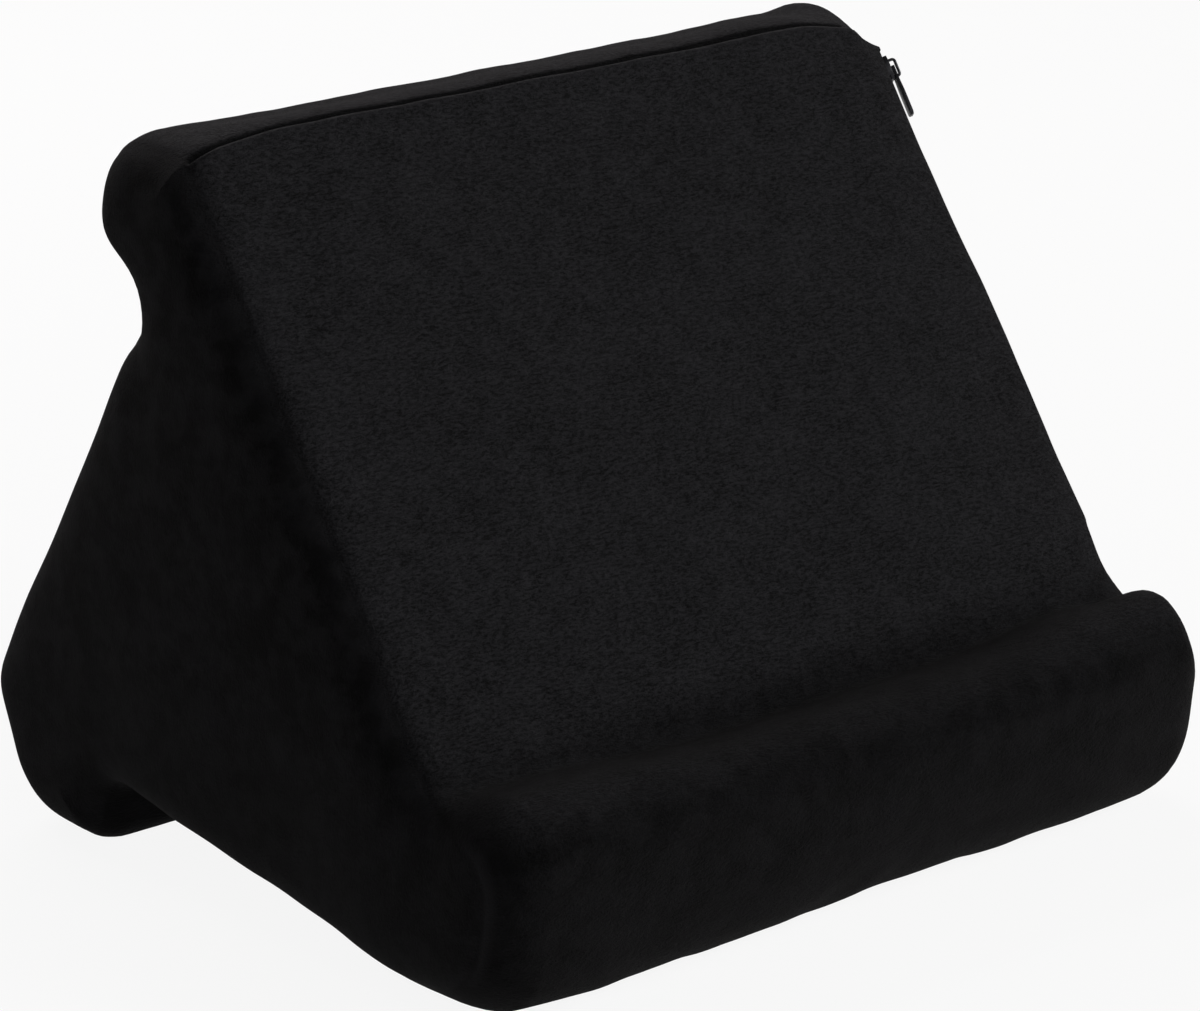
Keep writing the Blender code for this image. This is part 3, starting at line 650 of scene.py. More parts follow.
def fill_panel(skin, ring, end):
    """Triangles inside an end panel's innermost row, with points at an even spacing."""
    spacing = sizes().panel_spacing
    rim = [skin.points[i] for i in ring]
    flat = [Vector((p.y, p.z)) for p in rim]
    count = len(flat)
    edges = [(i, (i + 1) % count) for i in range(count)]
    tree = kdtree.KDTree(count)
    for i, p in enumerate(flat):
        tree.insert((p.x, p.y, 0.0), i)
    tree.balance()
    low = [min(p[k] for p in flat) for k in range(2)]
    high = [max(p[k] for p in flat) for k in range(2)]
    step = Vector((spacing, spacing * math.sqrt(3.0) / 2.0))
    points = list(flat)
    for row in range(int((high[1] - low[1]) / step.y) + 1):
        for k in range(int((high[0] - low[0]) / step.x) + 2):
            spot = Vector((low[0] + step.x * (k + 0.5 * (row % 2)), low[1] + step.y * row))
            from_rim = tree.find((spot.x, spot.y, 0.0))[2]
            if from_rim > PANEL_RIM_GAP * spacing and is_inside(spot, flat):
                points.append(spot)
    verts, _, faces, *_ = delaunay_2d_cdt(points, edges, [], 1, PANEL_TOLERANCE)
    x = rim[0].x
    numbers = list(ring)
    for spot in points[count:]:
        note = note_on(None, end, FAR_FROM_SEAM, True)
        numbers.append(skin.add(Vector((x, spot.x, spot.y)), Vector((end, 0.0, 0.0)), note))
    if len(verts) != len(points):
        raise RuntimeError("the panel's filling lost or gained points")
    return [[numbers[i] for i in face] for face in faces]


def is_inside(spot, polygon):
    """True where a point lies inside a closed outline."""
    inside = False
    for a, b in zip(polygon, polygon[1:] + polygon[:1]):
        if (a.y > spot.y) != (b.y > spot.y):
            if spot.x < a.x + (spot.y - a.y) * (b.x - a.x) / (b.y - a.y):
                inside = not inside
    return inside


def skin_faces(skin):
    """Faces of the whole cover, and whether each belongs to an end panel."""
    faces = []
    panels = []
    count = len(skin.columns)
    for upper, lower in zip(skin.rows, skin.rows[1:]):
        for i in range(count):
            j = (i + 1) % count
            faces.append((upper[i], upper[j], lower[j], lower[i]))
            panels.append(skin.notes[upper[i]]["panel"] and skin.notes[lower[i]]["panel"])
    for ring, end in ((skin.rows[0], LEFT), (skin.rows[-1], RIGHT)):
        for face in fill_panel(skin, ring, end):
            faces.append(tuple(face))
            panels.append(True)
    return faces, panels


def mesh_object(name, points, faces):
    """A closed mesh at the origin, with its faces pointing out."""
    mesh = bmesh.new()
    verts = [mesh.verts.new(p) for p in points]
    for face in faces:
        mesh.faces.new([verts[i] for i in face])
    mesh.verts.index_update()
    bmesh.ops.recalc_face_normals(mesh, faces=mesh.faces)
    data = bpy.data.meshes.new(name)
    mesh.to_mesh(data)
    mesh.free()
    made = bpy.data.objects.new(name, data)
    bpy.context.scene.collection.objects.link(made)
    return made


def deselect_all():
    """Deselect every object."""
    for item in bpy.context.view_layer.objects:
        item.select_set(False)


def select_only(item):
    """Make one object the active and only selected one."""
    deselect_all()
    item.select_set(True)
    bpy.context.view_layer.objects.active = item


def seam_points(skin):
    """Points along all the cover's seams."""
    found = []
    for row in skin.rows:
        for i in row:
            note = skin.notes[i]
            on_end_seam = note["from_seam"] < ON_SEAM
            on_top_seam = note["column"].seam_offset == 0.0 and not note["panel"]
            if on_end_seam or on_top_seam:
                found.append(skin.points[i])
    return found


def tree_of(points):
    """A search tree over points."""
    tree = kdtree.KDTree(len(points))
    for i, point in enumerate(points):
        tree.insert(point, i)
    tree.balance()
    return tree


def blown_up(skin, faces):
    """Simulate the cover as cloth held at its seams: its mesh at rest, and its points' moves."""
    size = sizes()
    points = [p - n * size.take_in for p, n in zip(skin.points, skin.normals)]
    bag = mesh_object("cover_simulated", points, faces)
    remesh = bag.modifiers.new("even_grid", "REMESH")
    remesh.mode = "VOXEL"
    remesh.voxel_size = size.voxel
    select_only(bag)
    bpy.ops.object.modifier_apply(modifier=remesh.name)
    rest = [v.co.copy() for v in bag.data.vertices]
    polygons = [tuple(p.vertices) for p in bag.data.polygons]
    seams = tree_of(seam_points(skin))
    held = bag.vertex_groups.new(name="held")
    for i, spot in enumerate(rest):
        distance = seams.find(spot)[2]
        weight = max(0.0, min(1.0, HOLD_START - distance / HOLD_REACH))
        if weight > 0.0:
            held.add([i], weight, "REPLACE")
    cloth = bag.modifiers.new("cloth", "CLOTH")
    cloth.settings.quality = CLOTH_QUALITY
    cloth.settings.use_pressure = True
    cloth.settings.uniform_pressure_force = size.pressure
    cloth.settings.vertex_group_mass = held.name
    cloth.settings.effector_weights.gravity = 0.0
    cloth.point_cache.frame_start = 1
    cloth.point_cache.frame_end = size.frames
    for k in range(1, size.frames + 1):
        bpy.context.scene.frame_set(k)
    evaluated = bag.evaluated_get(bpy.context.evaluated_depsgraph_get())
    moved = [v.co.copy() for v in evaluated.data.vertices]
    bpy.data.objects.remove(bag)
    bpy.context.scene.frame_set(1)
    moves = []
    for before, after in zip(rest, moved):
        move = after - before
        if move.length > size.swell_cap:
            move = move.normalized() * size.swell_cap
        moves.append(move)
    return rest, polygons, moves


def swelling(skin, faces):
    """Movement of every point of the cover, from its plain place to where the cloth puts it."""
    size = sizes()
    rest, polygons, moves = blown_up(skin, faces)
    tree = BVHTree.FromPolygons(rest, polygons)
    total = []
    for point, normal in zip(skin.points, skin.normals):
        start = point - normal * size.take_in
        spot, _, index, _ = tree.find_nearest(start)
        corners = polygons[index]
        weights = poly_3d_calc([rest[i] for i in corners], spot)
        move = Vector()
        for i, weight in zip(corners, weights):
            move += moves[i] * (weight * size.give)
        total.append(move - normal * size.take_in)
    return total


def smoothstep(low, high, value):
    """0 below low, 1 above high, smooth between."""
    t = max(0.0, min(1.0, (value - low) / (high - low)))
    return t * t * (3.0 - 2.0 * t)


def bell(value):
    """1 at nothing, falling off smoothly to both sides."""
    return math.exp(-(value ** 2))


def stuffing(point):
    """How far the stuffing pushes a point of the cover, as a movement."""
    depth = point.y + DEPTH_MIDDLE
    move = Vector()
    for direction, amount, reach, side, centre, radius in FORMS:
        if side * point.x < 0.0:
            continue
        away = math.hypot(depth - centre[0], point.z - centre[1])
        push = amount * smoothstep(*reach, abs(point.x))
        push *= 1.0 - smoothstep(FORM_CORE * radius, radius, away)
        if direction == "out":
            move.x += push if point.x > 0.0 else -push
        elif direction == "up":
            move.z += push
        else:
            move.y += push
    return move


def folds(point, note):
    """Depth of the end panels' soft folds at a point."""
    if not note["panel"]:
        return 0.0
    spot = Vector((point.y + DEPTH_MIDDLE, point.z))
    sunk = 0.0
    for start, end, deep, wide in FOLDS:
        start, line = Vector(start), Vector(end) - Vector(start)
        along = (spot - start).dot(line) / line.length_squared
        nearest = start + line * max(0.0, min(1.0, along))
        across = (spot - nearest).length / wide
        taper = 1.0 - smoothstep(*FOLD_TAPER, abs(2.0 * along - 1.0))
        ridge = FOLD_RIDGE_SHARE * bell(across - FOLD_RIDGE_PLACE)
        sunk += deep * taper * (bell(across) - ridge)
    return sunk


def zip_hold(point, note):
    """1 in the zip's trough, fading to 0 beside it: where the cover keeps its plain place."""
    column = note["column"]
    if column is None or column.where != "face" or point.x < ZIP_SIDE:
        return 0.0
    begun = smoothstep(*ZIP_HOLD_BEGIN, column.place)
    ended = smoothstep(*ZIP_HOLD_END, column.place)
    reach = ZIP_HOLD_REACH - ZIP_HOLD_NARROWER * smoothstep(*ZIP_HOLD_NARROWING, column.place)
    return begun * (1.0 - ended) * (1.0 - smoothstep(ZIP_HOLD_SIDES, reach, note["from_seam"]))


def pucker(note):
    """Small folds that run away from an end seam, as a movement outwards."""
    column = note["column"]
    if column is None:
        return 0.0
    distance = note["from_seam"]
    fade = math.exp(-distance / PUCKER_REACH) * smoothstep(*PUCKER_START, distance)
    end = note["end"]
    drift = noise.noise(
        Vector((column.along * PUCKER_DRIFT_CHANGES, end * PUCKER_END_SHIFT, 0.0))
    )
    calm = noise.noise(Vector((column.along * PUCKER_CALM_CHANGES, PUCKER_CALM_SHIFT, end)))
    change = smoothstep(*PUCKER_CALM_SPAN, calm)
    strength = PUCKER_CALMEST + (1.0 - PUCKER_CALMEST) * change
    wave = math.cos(column.along * 2.0 * math.pi / PUCKER_PITCH + PUCKER_DRIFT * drift)
    return PUCKER_HEIGHT * strength * wave * fade * (1.0 - note["share"])


def unevenness(point, note):
    """The cover's slight lumps, as a movement outwards."""
    height, count = BROAD_LUMPS
    broad = height * noise.fractal(point * count, *LUMPS_ROUGHNESS)
    height, count = SMALL_LUMPS
    spot = point * count + Vector(SMALL_LUMPS_SHIFT)
    small = height * noise.fractal(spot, *LUMPS_ROUGHNESS)
    return (broad + small) * (PANEL_LUMPIER if note["panel"] else 1.0)


def on_top_seam(note):
    """True for the columns of the top seam, outside the end panels."""
    column = note["column"]
    return column is not None and column.seam_offset is not None and not note["panel"]


def top_seam_sink(note, point):
    """Depth of the groove and height of the lip along the top seam."""
    if not on_top_seam(note):
        return 0.0
    wide = 1.0 + TOP_SEAM_WIDER * smoothstep(*TOP_SEAM_GAPE, point.x)
    return note["column"].seam_depth * wide * smoothstep(0.0, TOP_SEAM_FADE, note["from_seam"])


def dressed_point(skin, k, move):
    """Final place of one point of the cover."""
    point, normal, note = skin.points[k], skin.normals[k], skin.notes[k]
    free = 1.0 - zip_hold(point, note)
    out = free * (pucker(note) + unevenness(point, note))
    out -= note["sunk"] + top_seam_sink(note, point) + folds(point, note) * free
    return point + (move + stuffing(point)) * free + normal * out


def relaxed(skin, faces, points):
    """Round off the sharp hips of the end panels, by averaging each point with its neighbours."""
    count = len(points)
    weights = numpy.zeros(count)
    for k, (point, note) in enumerate(zip(skin.points, skin.notes)):
        near = 1.0 - smoothstep(0.0, RELAX_REACH, sizes().width / 2.0 - abs(point.x))
        weights[k] = RELAX_SHARE * near * (1.0 - zip_hold(point, note))
    pairs = {(min(a, b), max(a, b)) for face in faces for a, b in zip(face, face[1:] + face[:1])}
    first, second = numpy.array(sorted(pairs)).T
    places = numpy.array([tuple(point) for point in points])
    degree = numpy.bincount(first, minlength=count) + numpy.bincount(second, minlength=count)
    for _ in range(sizes().relax_rounds):
        total = numpy.zeros_like(places)
        numpy.add.at(total, first, places[second])
        numpy.add.at(total, second, places[first])
        places += (total / degree[:, None] - places) * weights[:, None]
    places[:, 2] = numpy.maximum(places[:, 2], 0.0)
    return [Vector(place) for place in places]


def seam_tones(skin):
    """What the pile's tone depends on at each point: how much painted shade it has in a seam's
    groove, how much painted highlight on the top seam's lip or beside the ledge's seam, and how
    much painted light near an end panel's brink."""
    tones = {"groove": [], "worn": [], "brink": []}
    for point, note in zip(skin.points, skin.notes):
        in_rows = note["column"] is not None
        # Painted shade along every seam, darkest on the seam itself
        groove = GROOVE_SHADE * bell(note["from_seam"] / GROOVE_SHADE_WIDTH) if in_rows else 0.0
        lip_highlight = 0.0
        if on_top_seam(note):
            offset = note["column"].seam_offset
            # Painted shade in the top seam's groove, on its roll side
            inside, outside = (smoothstep(*edges, offset) for edges in TOP_GROOVE_SHADE)
            groove = max(groove, inside * (1.0 - outside))
            # Painted highlight along the top seam's lip
            lip_highlight = LIP_HIGHLIGHT * bell((offset + LIP_HIGHLIGHT_PLACE) / LIP_HIGHLIGHT_WIDTH)
        # Painted highlight beside the ledge's seam, low down at the front, where the groove's
        # painted shade is weaker
        low = 1.0 - smoothstep(*LEDGE_HIGHLIGHT_HEIGHTS, point.z)
        front = 1.0 - smoothstep(*LEDGE_HIGHLIGHT_DEPTHS, point.y)
        beside = 0.0 if note["panel"] else bell((note["from_seam"] - LEDGE_HIGHLIGHT_PLACE) / LEDGE_HIGHLIGHT_WIDTH)
        # Painted light: an end panel is lighter near its seam, where its rounding lies in shade
        brink = 1.0 - smoothstep(*BRINK_LIGHT_REACH, note["from_seam"]) if in_rows and note["panel"] else 0.0
        tones["groove"].append(groove * (1.0 - LEDGE_GROOVE_SHADE_LOSS * low * front))
        tones["worn"].append(max(low * front * beside, lip_highlight))
        tones["brink"].append(brink)
    return tones


def make_cover():
    """The plush cover, filled and blown up, as one closed piece."""
    skin = Skin()
    skin.build()
    faces, panels = skin_faces(skin)
    dressed = [dressed_point(skin, k, move) for k, move in enumerate(swelling(skin, faces))]
    cover = mesh_object("plush_cushion", relaxed(skin, faces, dressed), faces)
    for name, values in seam_tones(skin).items():
        cover.data.attributes.new(name, "FLOAT", "POINT").data.foreach_set("value", values)
    cover.data.materials.append(plush_material("plush_of_band", BAND_PILE))
    # The end panels get the darker pile, which is painted shade
    cover.data.materials.append(plush_material("plush_of_end_panels", SHADED_PANEL_PILE))
    for polygon, on_panel in zip(cover.data.polygons, panels):
        polygon.material_index = 1 if on_panel else 0
    cover.data.shade_smooth()
    return cover


# The Mix node's sockets for colours, which share their names with its other ones
MIX_FACTOR = 0
MIX_FIRST = 6
MIX_SECOND = 7
MIX_RESULT = 2


class Wire:
    """A shader socket that can be used in sums."""

    def __init__(self, shader, socket):
        self.shader = shader
        self.socket = socket

    def maths(self, operation, first, second):
        """A Math node on two wires or numbers."""
        return self.shader.node("ShaderNodeMath", {"operation": operation}, {0: first, 1: second})

    def __add__(self, other):
        return self.maths("ADD", self, other)

    def __radd__(self, other):
        return self.maths("ADD", other, self)

    def __sub__(self, other):
        return self.maths("SUBTRACT", self, other)

    def __rsub__(self, other):
        return self.maths("SUBTRACT", other, self)

    def __mul__(self, other):
        return self.maths("MULTIPLY", self, other)

    def __rmul__(self, other):
        return self.maths("MULTIPLY", other, self)


class Shader:
    """A material or world whose nodes are all made by one method."""

    def __init__(self, owner):
        self.owner = owner
        owner.use_nodes = True
        self.tree = owner.node_tree
        self.tree.nodes.clear()

    def node(self, kind, settings=None, sockets=None, output=0):
        """One node: its settings first, then its sockets' values or wires."""
        made = self.tree.nodes.new(kind)
        for name, value in (settings or {}).items():
            if name == "ramp":
                self.set_ramp(made.color_ramp, value)
            else:
                setattr(made, name, value)
        for name, value in (sockets or {}).items():
            if isinstance(value, Wire):
                self.tree.links.new(value.socket, made.inputs[name])
            else:
                made.inputs[name].default_value = value
        return Wire(self, made.outputs[output]) if made.outputs else None

    def set_ramp(self, ramp, stops):
        """Stops of a colour ramp as (place, brightness)."""
        while len(ramp.elements) < len(stops):
            ramp.elements.new(1.0)
        for element, (place, level) in zip(ramp.elements, stops):
            element.position = place
            element.color = (level, level, level, 1.0)

    def place(self, scale=(1.0, 1.0, 1.0), shift=(0.0, 0.0, 0.0)):
        """Object coordinates, scaled and shifted."""
        coordinates = self.node("ShaderNodeTexCoord", output="Object")
        sockets = {"Vector": coordinates, "Scale": scale, "Location": shift}
        return self.node("ShaderNodeMapping", {}, sockets)

    def clouds(self, vector, scale, detail, roughness):
        """Soft noise from 0 to 1."""
        sockets = {"Vector": vector, "Scale": scale, "Detail": detail, "Roughness": roughness}
        return self.node("ShaderNodeTexNoise", {}, sockets)

    def ramp(self, value, stops):
        """A number passed through brightness stops."""
        return self.node("ShaderNodeValToRGB", {"ramp": stops}, {"Fac": value})

    def mix(self, factor, first, second):
        """Two colours mixed by a factor."""
        sockets = {MIX_FACTOR: factor, MIX_FIRST: first, MIX_SECOND: second}
        return self.node("ShaderNodeMix", {"data_type": "RGBA"}, sockets, output=MIX_RESULT)

    def shades(self, factor, colour, span):
        """A colour from its darkest to its lightest level."""
        return self.mix(factor, shade(colour, span[0]), shade(colour, span[1]))

    def attribute(self, name):
        """A number that the mesh carries at each of its points."""
        return self.node("ShaderNodeAttribute", {"attribute_name": name}, output="Fac")

    def bump(self, height, strength, distance, normal=None):
        """A relief from a height."""
        sockets = {"Height": height, "Strength": strength, "Distance": distance}
        if normal is not None:
            sockets["Normal"] = normal
        return self.node("ShaderNodeBump", {}, sockets)

    def largest(self, first, second):
        """The larger of two numbers."""
        return self.node("ShaderNodeMath", {"operation": "MAXIMUM"}, {0: first, 1: second})

    def finish(self, sockets):
        """The surface that ends the material."""
        surface = self.node("ShaderNodeBsdfPrincipled", {}, sockets)
        self.node("ShaderNodeOutputMaterial", {}, {"Surface": surface})
        return self.owner


def shade(colour, level):
    """A colour made lighter or darker, with its alpha."""
    return tuple(min(1.0, part * level) for part in colour) + (1.0,)


def weighted(parts, shares):
    """Wires added up by their shares."""
    total = parts[0] * shares[0]
    for part, share in zip(parts[1:], shares[1:]):
        total = total + part * share
    return total


# Tones of the pile, as shares of the plush's colour: its darkest and lightest, high up and low
# down, where the band's darker tones low down are painted shade, and how much of its change comes
# from its patches, its mottles and its tufts
BAND_PILE = {
    "high": (0.3822, 1.9565), "low": (0.16744, 0.740922), "shares": (0.11, 0.14, 0.75),
}
# Painted shade: the end panels' pile is painted darker than the band's upper part, about half as
# bright
SHADED_PANEL_PILE = {
    "high": (0.008, 1.04), "low": (0.0, 1.08336), "shares": (0.34, 0.50, 0.16),
}
LOW_SHARES = (0.26, 0.36, 0.38)
BRINK_LIGHT_PILE = (0.50, 1.10)
GROOVE_SHADE_PILE = 0.10
HIGHLIGHT_PILE = 2.2
BRINK_LIGHT_STRENGTH = 0.8
GROOVE_SHADE_STRENGTH = 0.8
HIGHLIGHT_STRENGTH = 0.6

# Noises: how many to a metre, detail and roughness
PATCHES = (46.0, 3.0, 0.6)
MOTTLES = (140.0, 3.0, 0.6)
STROKES = (1250.0, 3.0, 0.75)
FIBRES = (2100.0, 1.0, 0.5)
WEAVE = (2600.0, 1.0, 0.5)
NYLON_MARKS = (900.0, 2.0, 0.6)
METAL_WEAR = (700.0, 3.0, 0.6)
METAL_GRAIN = (1500.0, 2.0, 0.5)

# Reliefs: strength and depth
STROKE_RELIEF = (0.9, 1.2 * MM)
FIBRE_RELIEF = (0.5, 0.4 * MM)
TAPE_RELIEF = (0.5, 0.2 * MM)
METAL_RELIEF = (0.15, 0.1 * MM)

# Levels of each colour, from its darkest to its lightest, and roughness: least, and change
TAPE_SHADES = (0.6, 1.5)
NYLON_SHADES = (0.7, 1.4)
METAL_SHADES = (0.7, 1.5)
NYLON_ROUGHNESS = (0.32, 0.2)
METAL_ROUGHNESS = (0.30, 0.25)

# Strokes run along the width, and mottles are drawn from another place than patches
STROKE_SCALE = (0.42, 1.0, 1.0)
MOTTLE_SHIFT = (0.3, 0.7, 0.1)

# Steps of the pile's noises from dark to light, and the heights, in fifths of a metre, between
# which the darker pile low down, which is painted shade, gives way to the lighter one above
PATCH_STEP = ((0.38, 0.0), (0.62, 1.0))
MOTTLE_STEP = ((0.41, 0.0), (0.59, 1.0))
TUFT_STEP = ((0.38, 0.0), (0.62, 1.0))
LOW_SHADE_STEP = ((0.29, 0.0), (0.37, 1.0))
LOW_SHADE_SCALE = 5.0


def plush_material(name, pile):
    """Short black pile: patches, mottles, strokes along the width and fine fibres, with painted
    shade low down and in the seams' grooves, painted highlights on the top seam's lip and beside
    the ledge's seam, and painted light on the end panels' brinks.
    """
    shader = Shader(bpy.data.materials.new(name))
    tone = colours().plush
    height = shader.node("ShaderNodeSeparateXYZ", {}, {"Vector": shader.place()}, output="Z")
    # Painted shade: 0 low down and 1 above about 7 cm, where the pile's tones become lighter
    above_low_shade = shader.ramp(height * LOW_SHADE_SCALE, LOW_SHADE_STEP)
    patches = shader.ramp(shader.clouds(shader.place(), *PATCHES), PATCH_STEP)
    mottles = shader.ramp(shader.clouds(shader.place(shift=MOTTLE_SHIFT), *MOTTLES), MOTTLE_STEP)
    strokes = shader.clouds(shader.place(scale=STROKE_SCALE), *STROKES)
    tufts = shader.ramp(strokes, TUFT_STEP)
    fibres = shader.clouds(shader.place(), *FIBRES)
    parts = (patches, mottles, tufts)
    mixed = weighted(parts, pile["shares"])
    higher_tones = shader.shades(mixed, tone, pile["high"])
    # Painted shade: darker tones for the pile low down
    painted_low_shade = shader.shades(weighted(parts, LOW_SHARES), tone, pile["low"])
    plain = shader.mix(above_low_shade, painted_low_shade, higher_tones)
    # Painted light on the end panels' brinks: lighter tones near their seams
    brink = shader.shades(mixed, tone, BRINK_LIGHT_PILE)
    lit = shader.mix(shader.attribute("brink") * BRINK_LIGHT_STRENGTH, plain, brink)
    # Painted shade in the seams' grooves
    dark = shade(tone, GROOVE_SHADE_PILE)
    with_groove_shade = shader.mix(shader.attribute("groove") * GROOVE_SHADE_STRENGTH, lit, dark)
    # Painted highlights on the top seam's lip and beside the ledge's seam
    colour = shader.mix(shader.attribute("worn") * HIGHLIGHT_STRENGTH, with_groove_shade, shade(tone, HIGHLIGHT_PILE))
    first = shader.bump(strokes, *STROKE_RELIEF)
    second = shader.bump(fibres, *FIBRE_RELIEF, first)
    return shader.finish({
        "Base Color": colour,
        "Roughness": 0.92,
        "Specular IOR Level": 0.05,
        "Sheen Weight": 0.018,
        "Sheen Roughness": 0.42,
        "Sheen Tint": (*colours().sheen, 1.0),
        "Normal": second,
    })


class CUSHION_OT_cover(bpy.types.Operator):
    """Make the plush cover over its foam."""

    bl_idname = "cushion.cover"
    bl_label = "Plush cover"

    def execute(self, context):
        cover = make_cover()
        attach(cover, "cushion")
        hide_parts("cover_band", "cover_end_left", "cover_end_right", "foam_core")
        return {"FINISHED"}


def tape_material():
    """Woven tape of the zip."""
    shader = Shader(bpy.data.materials.new("woven_tape"))
    tone = colours().tape
    weave = shader.clouds(shader.place(), *WEAVE)
    ribs = shader.node(
        "ShaderNodeTexWave", {"wave_type": "BANDS", "bands_direction": "X"},
        {"Vector": shader.place(), "Scale": 420.0, "Distortion": 0.6},
    )
    colour = shader.shades(weave * 0.5 + ribs * 0.5, tone, TAPE_SHADES)
    relief = shader.bump(ribs + weave, *TAPE_RELIEF)
    return shader.finish({
        "Base Color": colour,
        "Roughness": 0.8,
        "Specular IOR Level": 0.3,
        "Normal": relief,
    })


def coil_material():
    """Smooth nylon of the coil."""
    shader = Shader(bpy.data.materials.new("coil_nylon"))
    tone = colours().coil
    marks = shader.clouds(shader.place(), *NYLON_MARKS)
    colour = shader.shades(marks, tone, NYLON_SHADES)
    least, change = NYLON_ROUGHNESS
    roughness = marks * change + least
    return shader.finish({"Base Color": colour, "Roughness": roughness})


def metal_material():
    """Black-plated metal of the slider, the pull and the stops."""
    shader = Shader(bpy.data.materials.new("black_plated_metal"))
    tone = colours().metal
    wear = shader.clouds(shader.place(), *METAL_WEAR)
    colour = shader.shades(wear, tone, METAL_SHADES)
    least, change = METAL_ROUGHNESS
    roughness = wear * change + least
    relief = shader.bump(shader.clouds(shader.place(), *METAL_GRAIN), *METAL_RELIEF)
    return shader.finish({
        "Base Color": colour,
        "Roughness": roughness,
        "Metallic": 0.9,
        "Normal": relief,
    })


MERGE_DISTANCE = 0.01 * MM
FLAT_ANGLE = math.radians(1.0)
SHARP_ANGLE = math.radians(35.0)
SMOOTH_ANGLE = math.radians(50.0)
EDGE_SEGMENTS = 2

# How far the edges of each kind of piece are rounded
TAPE_EDGE = 0.15 * MM
COIL_EDGE = 0.12 * MM
STOP_EDGE = 0.20 * MM
SLIDER_EDGE = 0.25 * MM
PULL_EDGE = 0.20 * MM


def rounded_piece(node_name, piece_name, body, slot, material, edge):
    """A solid's shape with its sharp edges rounded, which stands for it on the same body."""
    piece = frame["nodes"][node_name].copy()
    piece.data = piece.data.copy()
    piece.name = piece_name
    piece.data.name = piece_name
    bpy.context.scene.collection.objects.link(piece)
    select_only(piece)
    bpy.ops.object.mode_set(mode="EDIT")
    bpy.ops.mesh.select_all(action="SELECT")
    bpy.ops.mesh.remove_doubles(threshold=MERGE_DISTANCE)
    bpy.ops.mesh.dissolve_limited(angle_limit=FLAT_ANGLE)
    bpy.ops.object.mode_set(mode="OBJECT")
    bevel = piece.modifiers.new("rounded_edges", "BEVEL")
    bevel.width = edge
    bevel.segments = EDGE_SEGMENTS
    bevel.limit_method = "ANGLE"
    bevel.angle_limit = SHARP_ANGLE
    bpy.ops.object.modifier_apply(modifier=bevel.name)
    piece.data.materials.clear()
    piece.data.materials.append(material)
    bpy.ops.object.shade_smooth_by_angle(angle=SMOOTH_ANGLE)
    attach(piece, body)
    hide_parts(node_name)


class CUSHION_OT_zip(bpy.types.Operator):
    """Finish the tapes, coils, stops, slider and pull of the zip."""

    bl_idname = "cushion.zip"
    bl_label = "Zip"

    def execute(self, context):
        tape = ("cushion", "zip_tape", tape_material(), TAPE_EDGE)
        coil = ("cushion", "zip_coil", coil_material(), COIL_EDGE)
        metal = metal_material()
        for side in ("front", "side"):
            rounded_piece(f"zip_tape_{side}", f"woven_tape_{side}", *tape)
            rounded_piece(f"zip_coil_{side}", f"nylon_coil_{side}", *coil)
        stop = ("cushion", "black_metal", metal, STOP_EDGE)
        for end in ("top", "bottom"):
            rounded_piece(f"zip_stop_{end}", f"metal_stop_{end}", *stop)
        rounded_piece("zip_slider", "metal_slider", "slider", "black_metal", metal, SLIDER_EDGE)
        rounded_piece("zip_pull", "metal_pull", "pull", "black_metal", metal, PULL_EDGE)
        return {"FINISHED"}


FLOOR_SIDE = 12.0
WHITE = (1.0, 1.0, 1.0, 1.0)

# Each lamp's place, the point that it looks at, its width and height, and its tint
LAMPS = {
    "key": ((1.35, -1.75, 1.35), (0.05, -0.02, 0.10), 1.2, 1.0, (1.0, 1.0, 1.0)),
    "top": ((0.35, 1.45, 1.45), (0.0, 0.0, 0.2), 1.6, 1.2, (1.0, 0.95, 0.96)),
    "fill": ((-0.90, -1.80, 1.10), (-0.05, 0.0, 0.10), 1.4, 1.2, (1.0, 1.0, 1.0)),
}

CAMERA_PLACE = (-0.8002, -0.9919, 0.4890)
CAMERA_FORWARD = (0.6027, 0.7424, -0.2926)
CAMERA_RIGHT = (0.7703, -0.6370, -0.0293)
CAMERA_SENSOR = 36.0
CAMERA_CLIP = (0.05, 30.0)


def area_lamp(name, power, place, target, width, height, colour):
    """A large soft lamp that looks at a point."""
    data = bpy.data.lights.new(name, "AREA")
    data.shape = "RECTANGLE"
    data.size = width
    data.size_y = height
    data.energy = power
    data.color = colour
    lamp = bpy.data.objects.new(name, data)
    bpy.context.scene.collection.objects.link(lamp)
    lamp.location = place
    lamp.rotation_euler = (Vector(target) - Vector(place)).to_track_quat("-Z", "Y").to_euler()


def ground_material(settings):
    """Pale floor that shows as white but keeps the shadow."""
    shader = Shader(bpy.data.materials.new("pale_ground"))
    seen = shader.node("ShaderNodeLightPath", output="Is Camera Ray")
    glossy = shader.node("ShaderNodeLightPath", output="Is Glossy Ray")
    through = shader.node("ShaderNodeLightPath", output="Is Transmission Ray")
    share = shader.largest(shader.largest(seen, glossy), through) * settings.ground_glow
    diffuse = shader.node("ShaderNodeBsdfDiffuse", {}, {"Color": (*settings.ground, 1.0)})
    glow = shader.node("ShaderNodeEmission", {}, {"Color": WHITE, "Strength": 1.0})
    mixed = shader.node("ShaderNodeMixShader", {}, {0: share, 1: diffuse, 2: glow})
    shader.node("ShaderNodeOutputMaterial", {}, {"Surface": mixed})
    return shader.owner


def make_world(settings):
    """White to the camera, and a soft even light on everything."""
    shader = Shader(bpy.data.worlds.new("studio"))
    bpy.context.scene.world = shader.owner
    seen = shader.node("ShaderNodeLightPath", output="Is Camera Ray")
    through = shader.node("ShaderNodeLightPath", output="Is Transmission Ray")
    share = shader.largest(seen, through)
    strength = shader.node("ShaderNodeMix", {}, {0: share, 2: settings.world_light, 3: 1.0})
    background = {"Color": WHITE, "Strength": strength}
    background = shader.node("ShaderNodeBackground", {}, background)
    shader.node("ShaderNodeOutputWorld", {}, {"Surface": background})


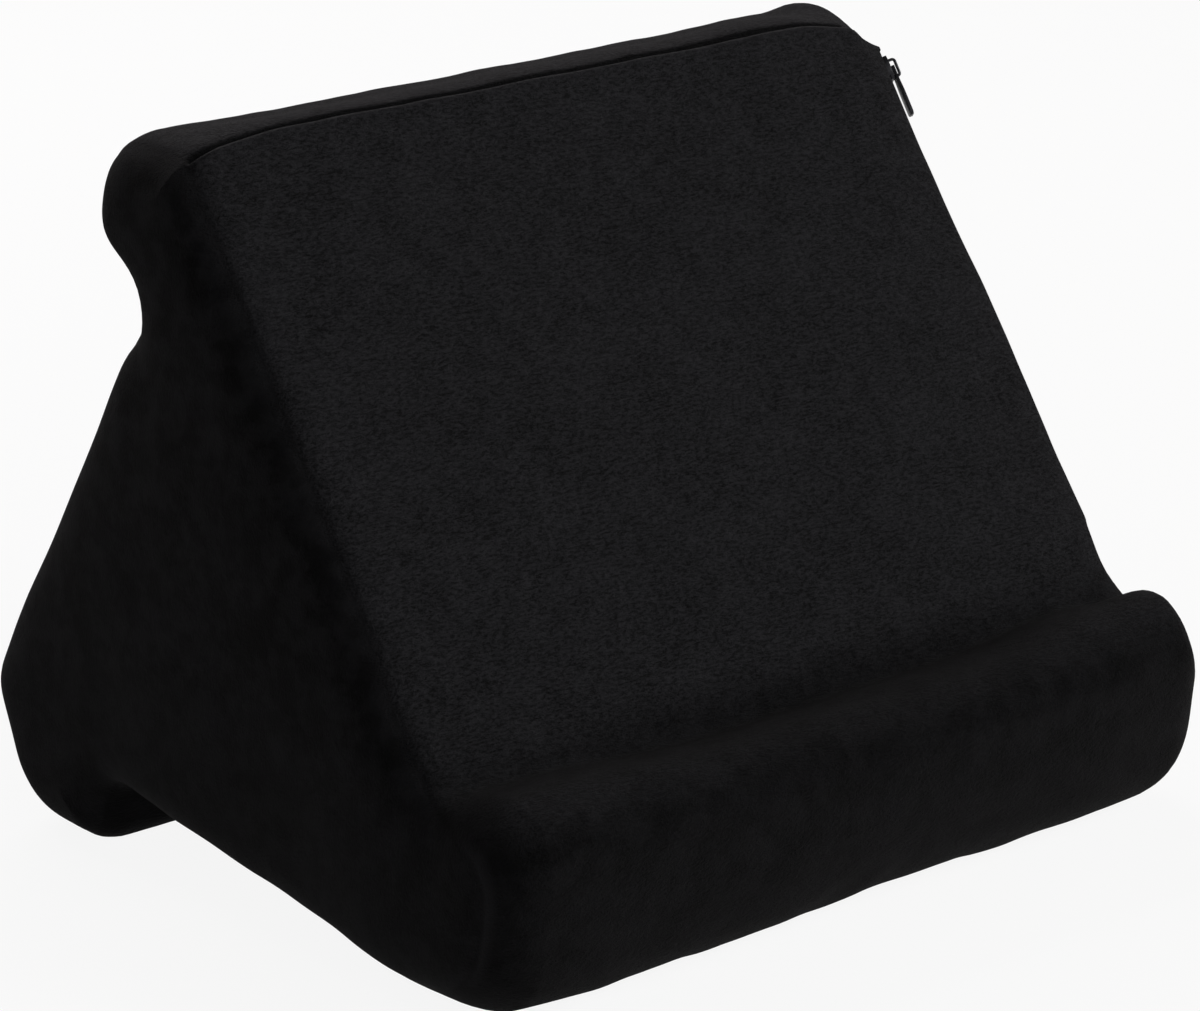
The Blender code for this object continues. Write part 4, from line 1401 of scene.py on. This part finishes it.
def make_camera(settings):
    """A camera that looks at the cushion from the front, its left and above."""
    data = bpy.data.cameras.new("camera")
    camera = bpy.data.objects.new("camera", data)
    bpy.context.scene.collection.objects.link(camera)
    data.sensor_width = CAMERA_SENSOR
    data.lens = settings.lens
    data.clip_start, data.clip_end = CAMERA_CLIP
    forward = Vector(CAMERA_FORWARD).normalized()
    right = Vector(CAMERA_RIGHT)
    right = (right - forward * right.dot(forward)).normalized()
    up = right.cross(forward)
    turned = Matrix((right, up, -forward)).transposed().to_4x4()
    camera.matrix_world = Matrix.Translation(CAMERA_PLACE) @ turned
    bpy.context.scene.camera = camera


class CUSHION_OT_studio(bpy.types.Operator):
    """Make the floor, the lamps and the camera."""

    bl_idname = "cushion.studio"
    bl_label = "Studio"

    def execute(self, context):
        settings = context.scene.cushion_studio
        deselect_all()
        bpy.ops.mesh.primitive_plane_add(size=FLOOR_SIDE, location=(0.0, 0.0, 0.0))
        floor = context.view_layer.objects.active
        floor.name = "studio_floor"
        floor.data.materials.append(ground_material(settings))
        for name, lamp in LAMPS.items():
            area_lamp(f"{name}_lamp", getattr(settings, f"{name}_light"), *lamp)
        make_world(settings)
        make_camera(settings)
        context.scene.view_settings.view_transform = "Standard"
        return {"FINISHED"}


class CUSHION_PT_panel(bpy.types.Panel):
    """Lists the steps and the sizes."""

    bl_idname = "CUSHION_PT_panel"
    bl_label = "Tablet cushion stand"
    bl_space_type = "VIEW_3D"
    bl_region_type = "UI"
    bl_category = "Cushion"

    def draw(self, context):
        layout = self.layout
        for step in STEPS:
            layout.operator(step.bl_idname)
        for name in GROUPS:
            box = layout.box()
            group = getattr(context.scene, name)
            for setting in group.__annotations__:
                box.prop(group, setting)


GROUPS = {
    "cushion_sizes": CushionSizes,
    "cushion_colours": CushionColours,
    "cushion_studio": StudioSettings,
}
STEPS = (CUSHION_OT_cover, CUSHION_OT_zip, CUSHION_OT_studio)


def register():
    """Register the settings, the steps and the panel."""
    for name, group in GROUPS.items():
        bpy.utils.register_class(group)
        setattr(bpy.types.Scene, name, PointerProperty(type=group))
    for step in STEPS + (CUSHION_PT_panel,):
        bpy.utils.register_class(step)


def unregister():
    """Take everything away again."""
    for step in (CUSHION_PT_panel,) + STEPS[::-1]:
        bpy.utils.unregister_class(step)
    for name, group in reversed(list(GROUPS.items())):
        delattr(bpy.types.Scene, name)
        bpy.utils.unregister_class(group)


def main():
    """Make every piece."""
    register()
    bpy.ops.cushion.cover()
    bpy.ops.cushion.zip()
    bpy.ops.cushion.studio()


if __name__ == "__main__":
    main()
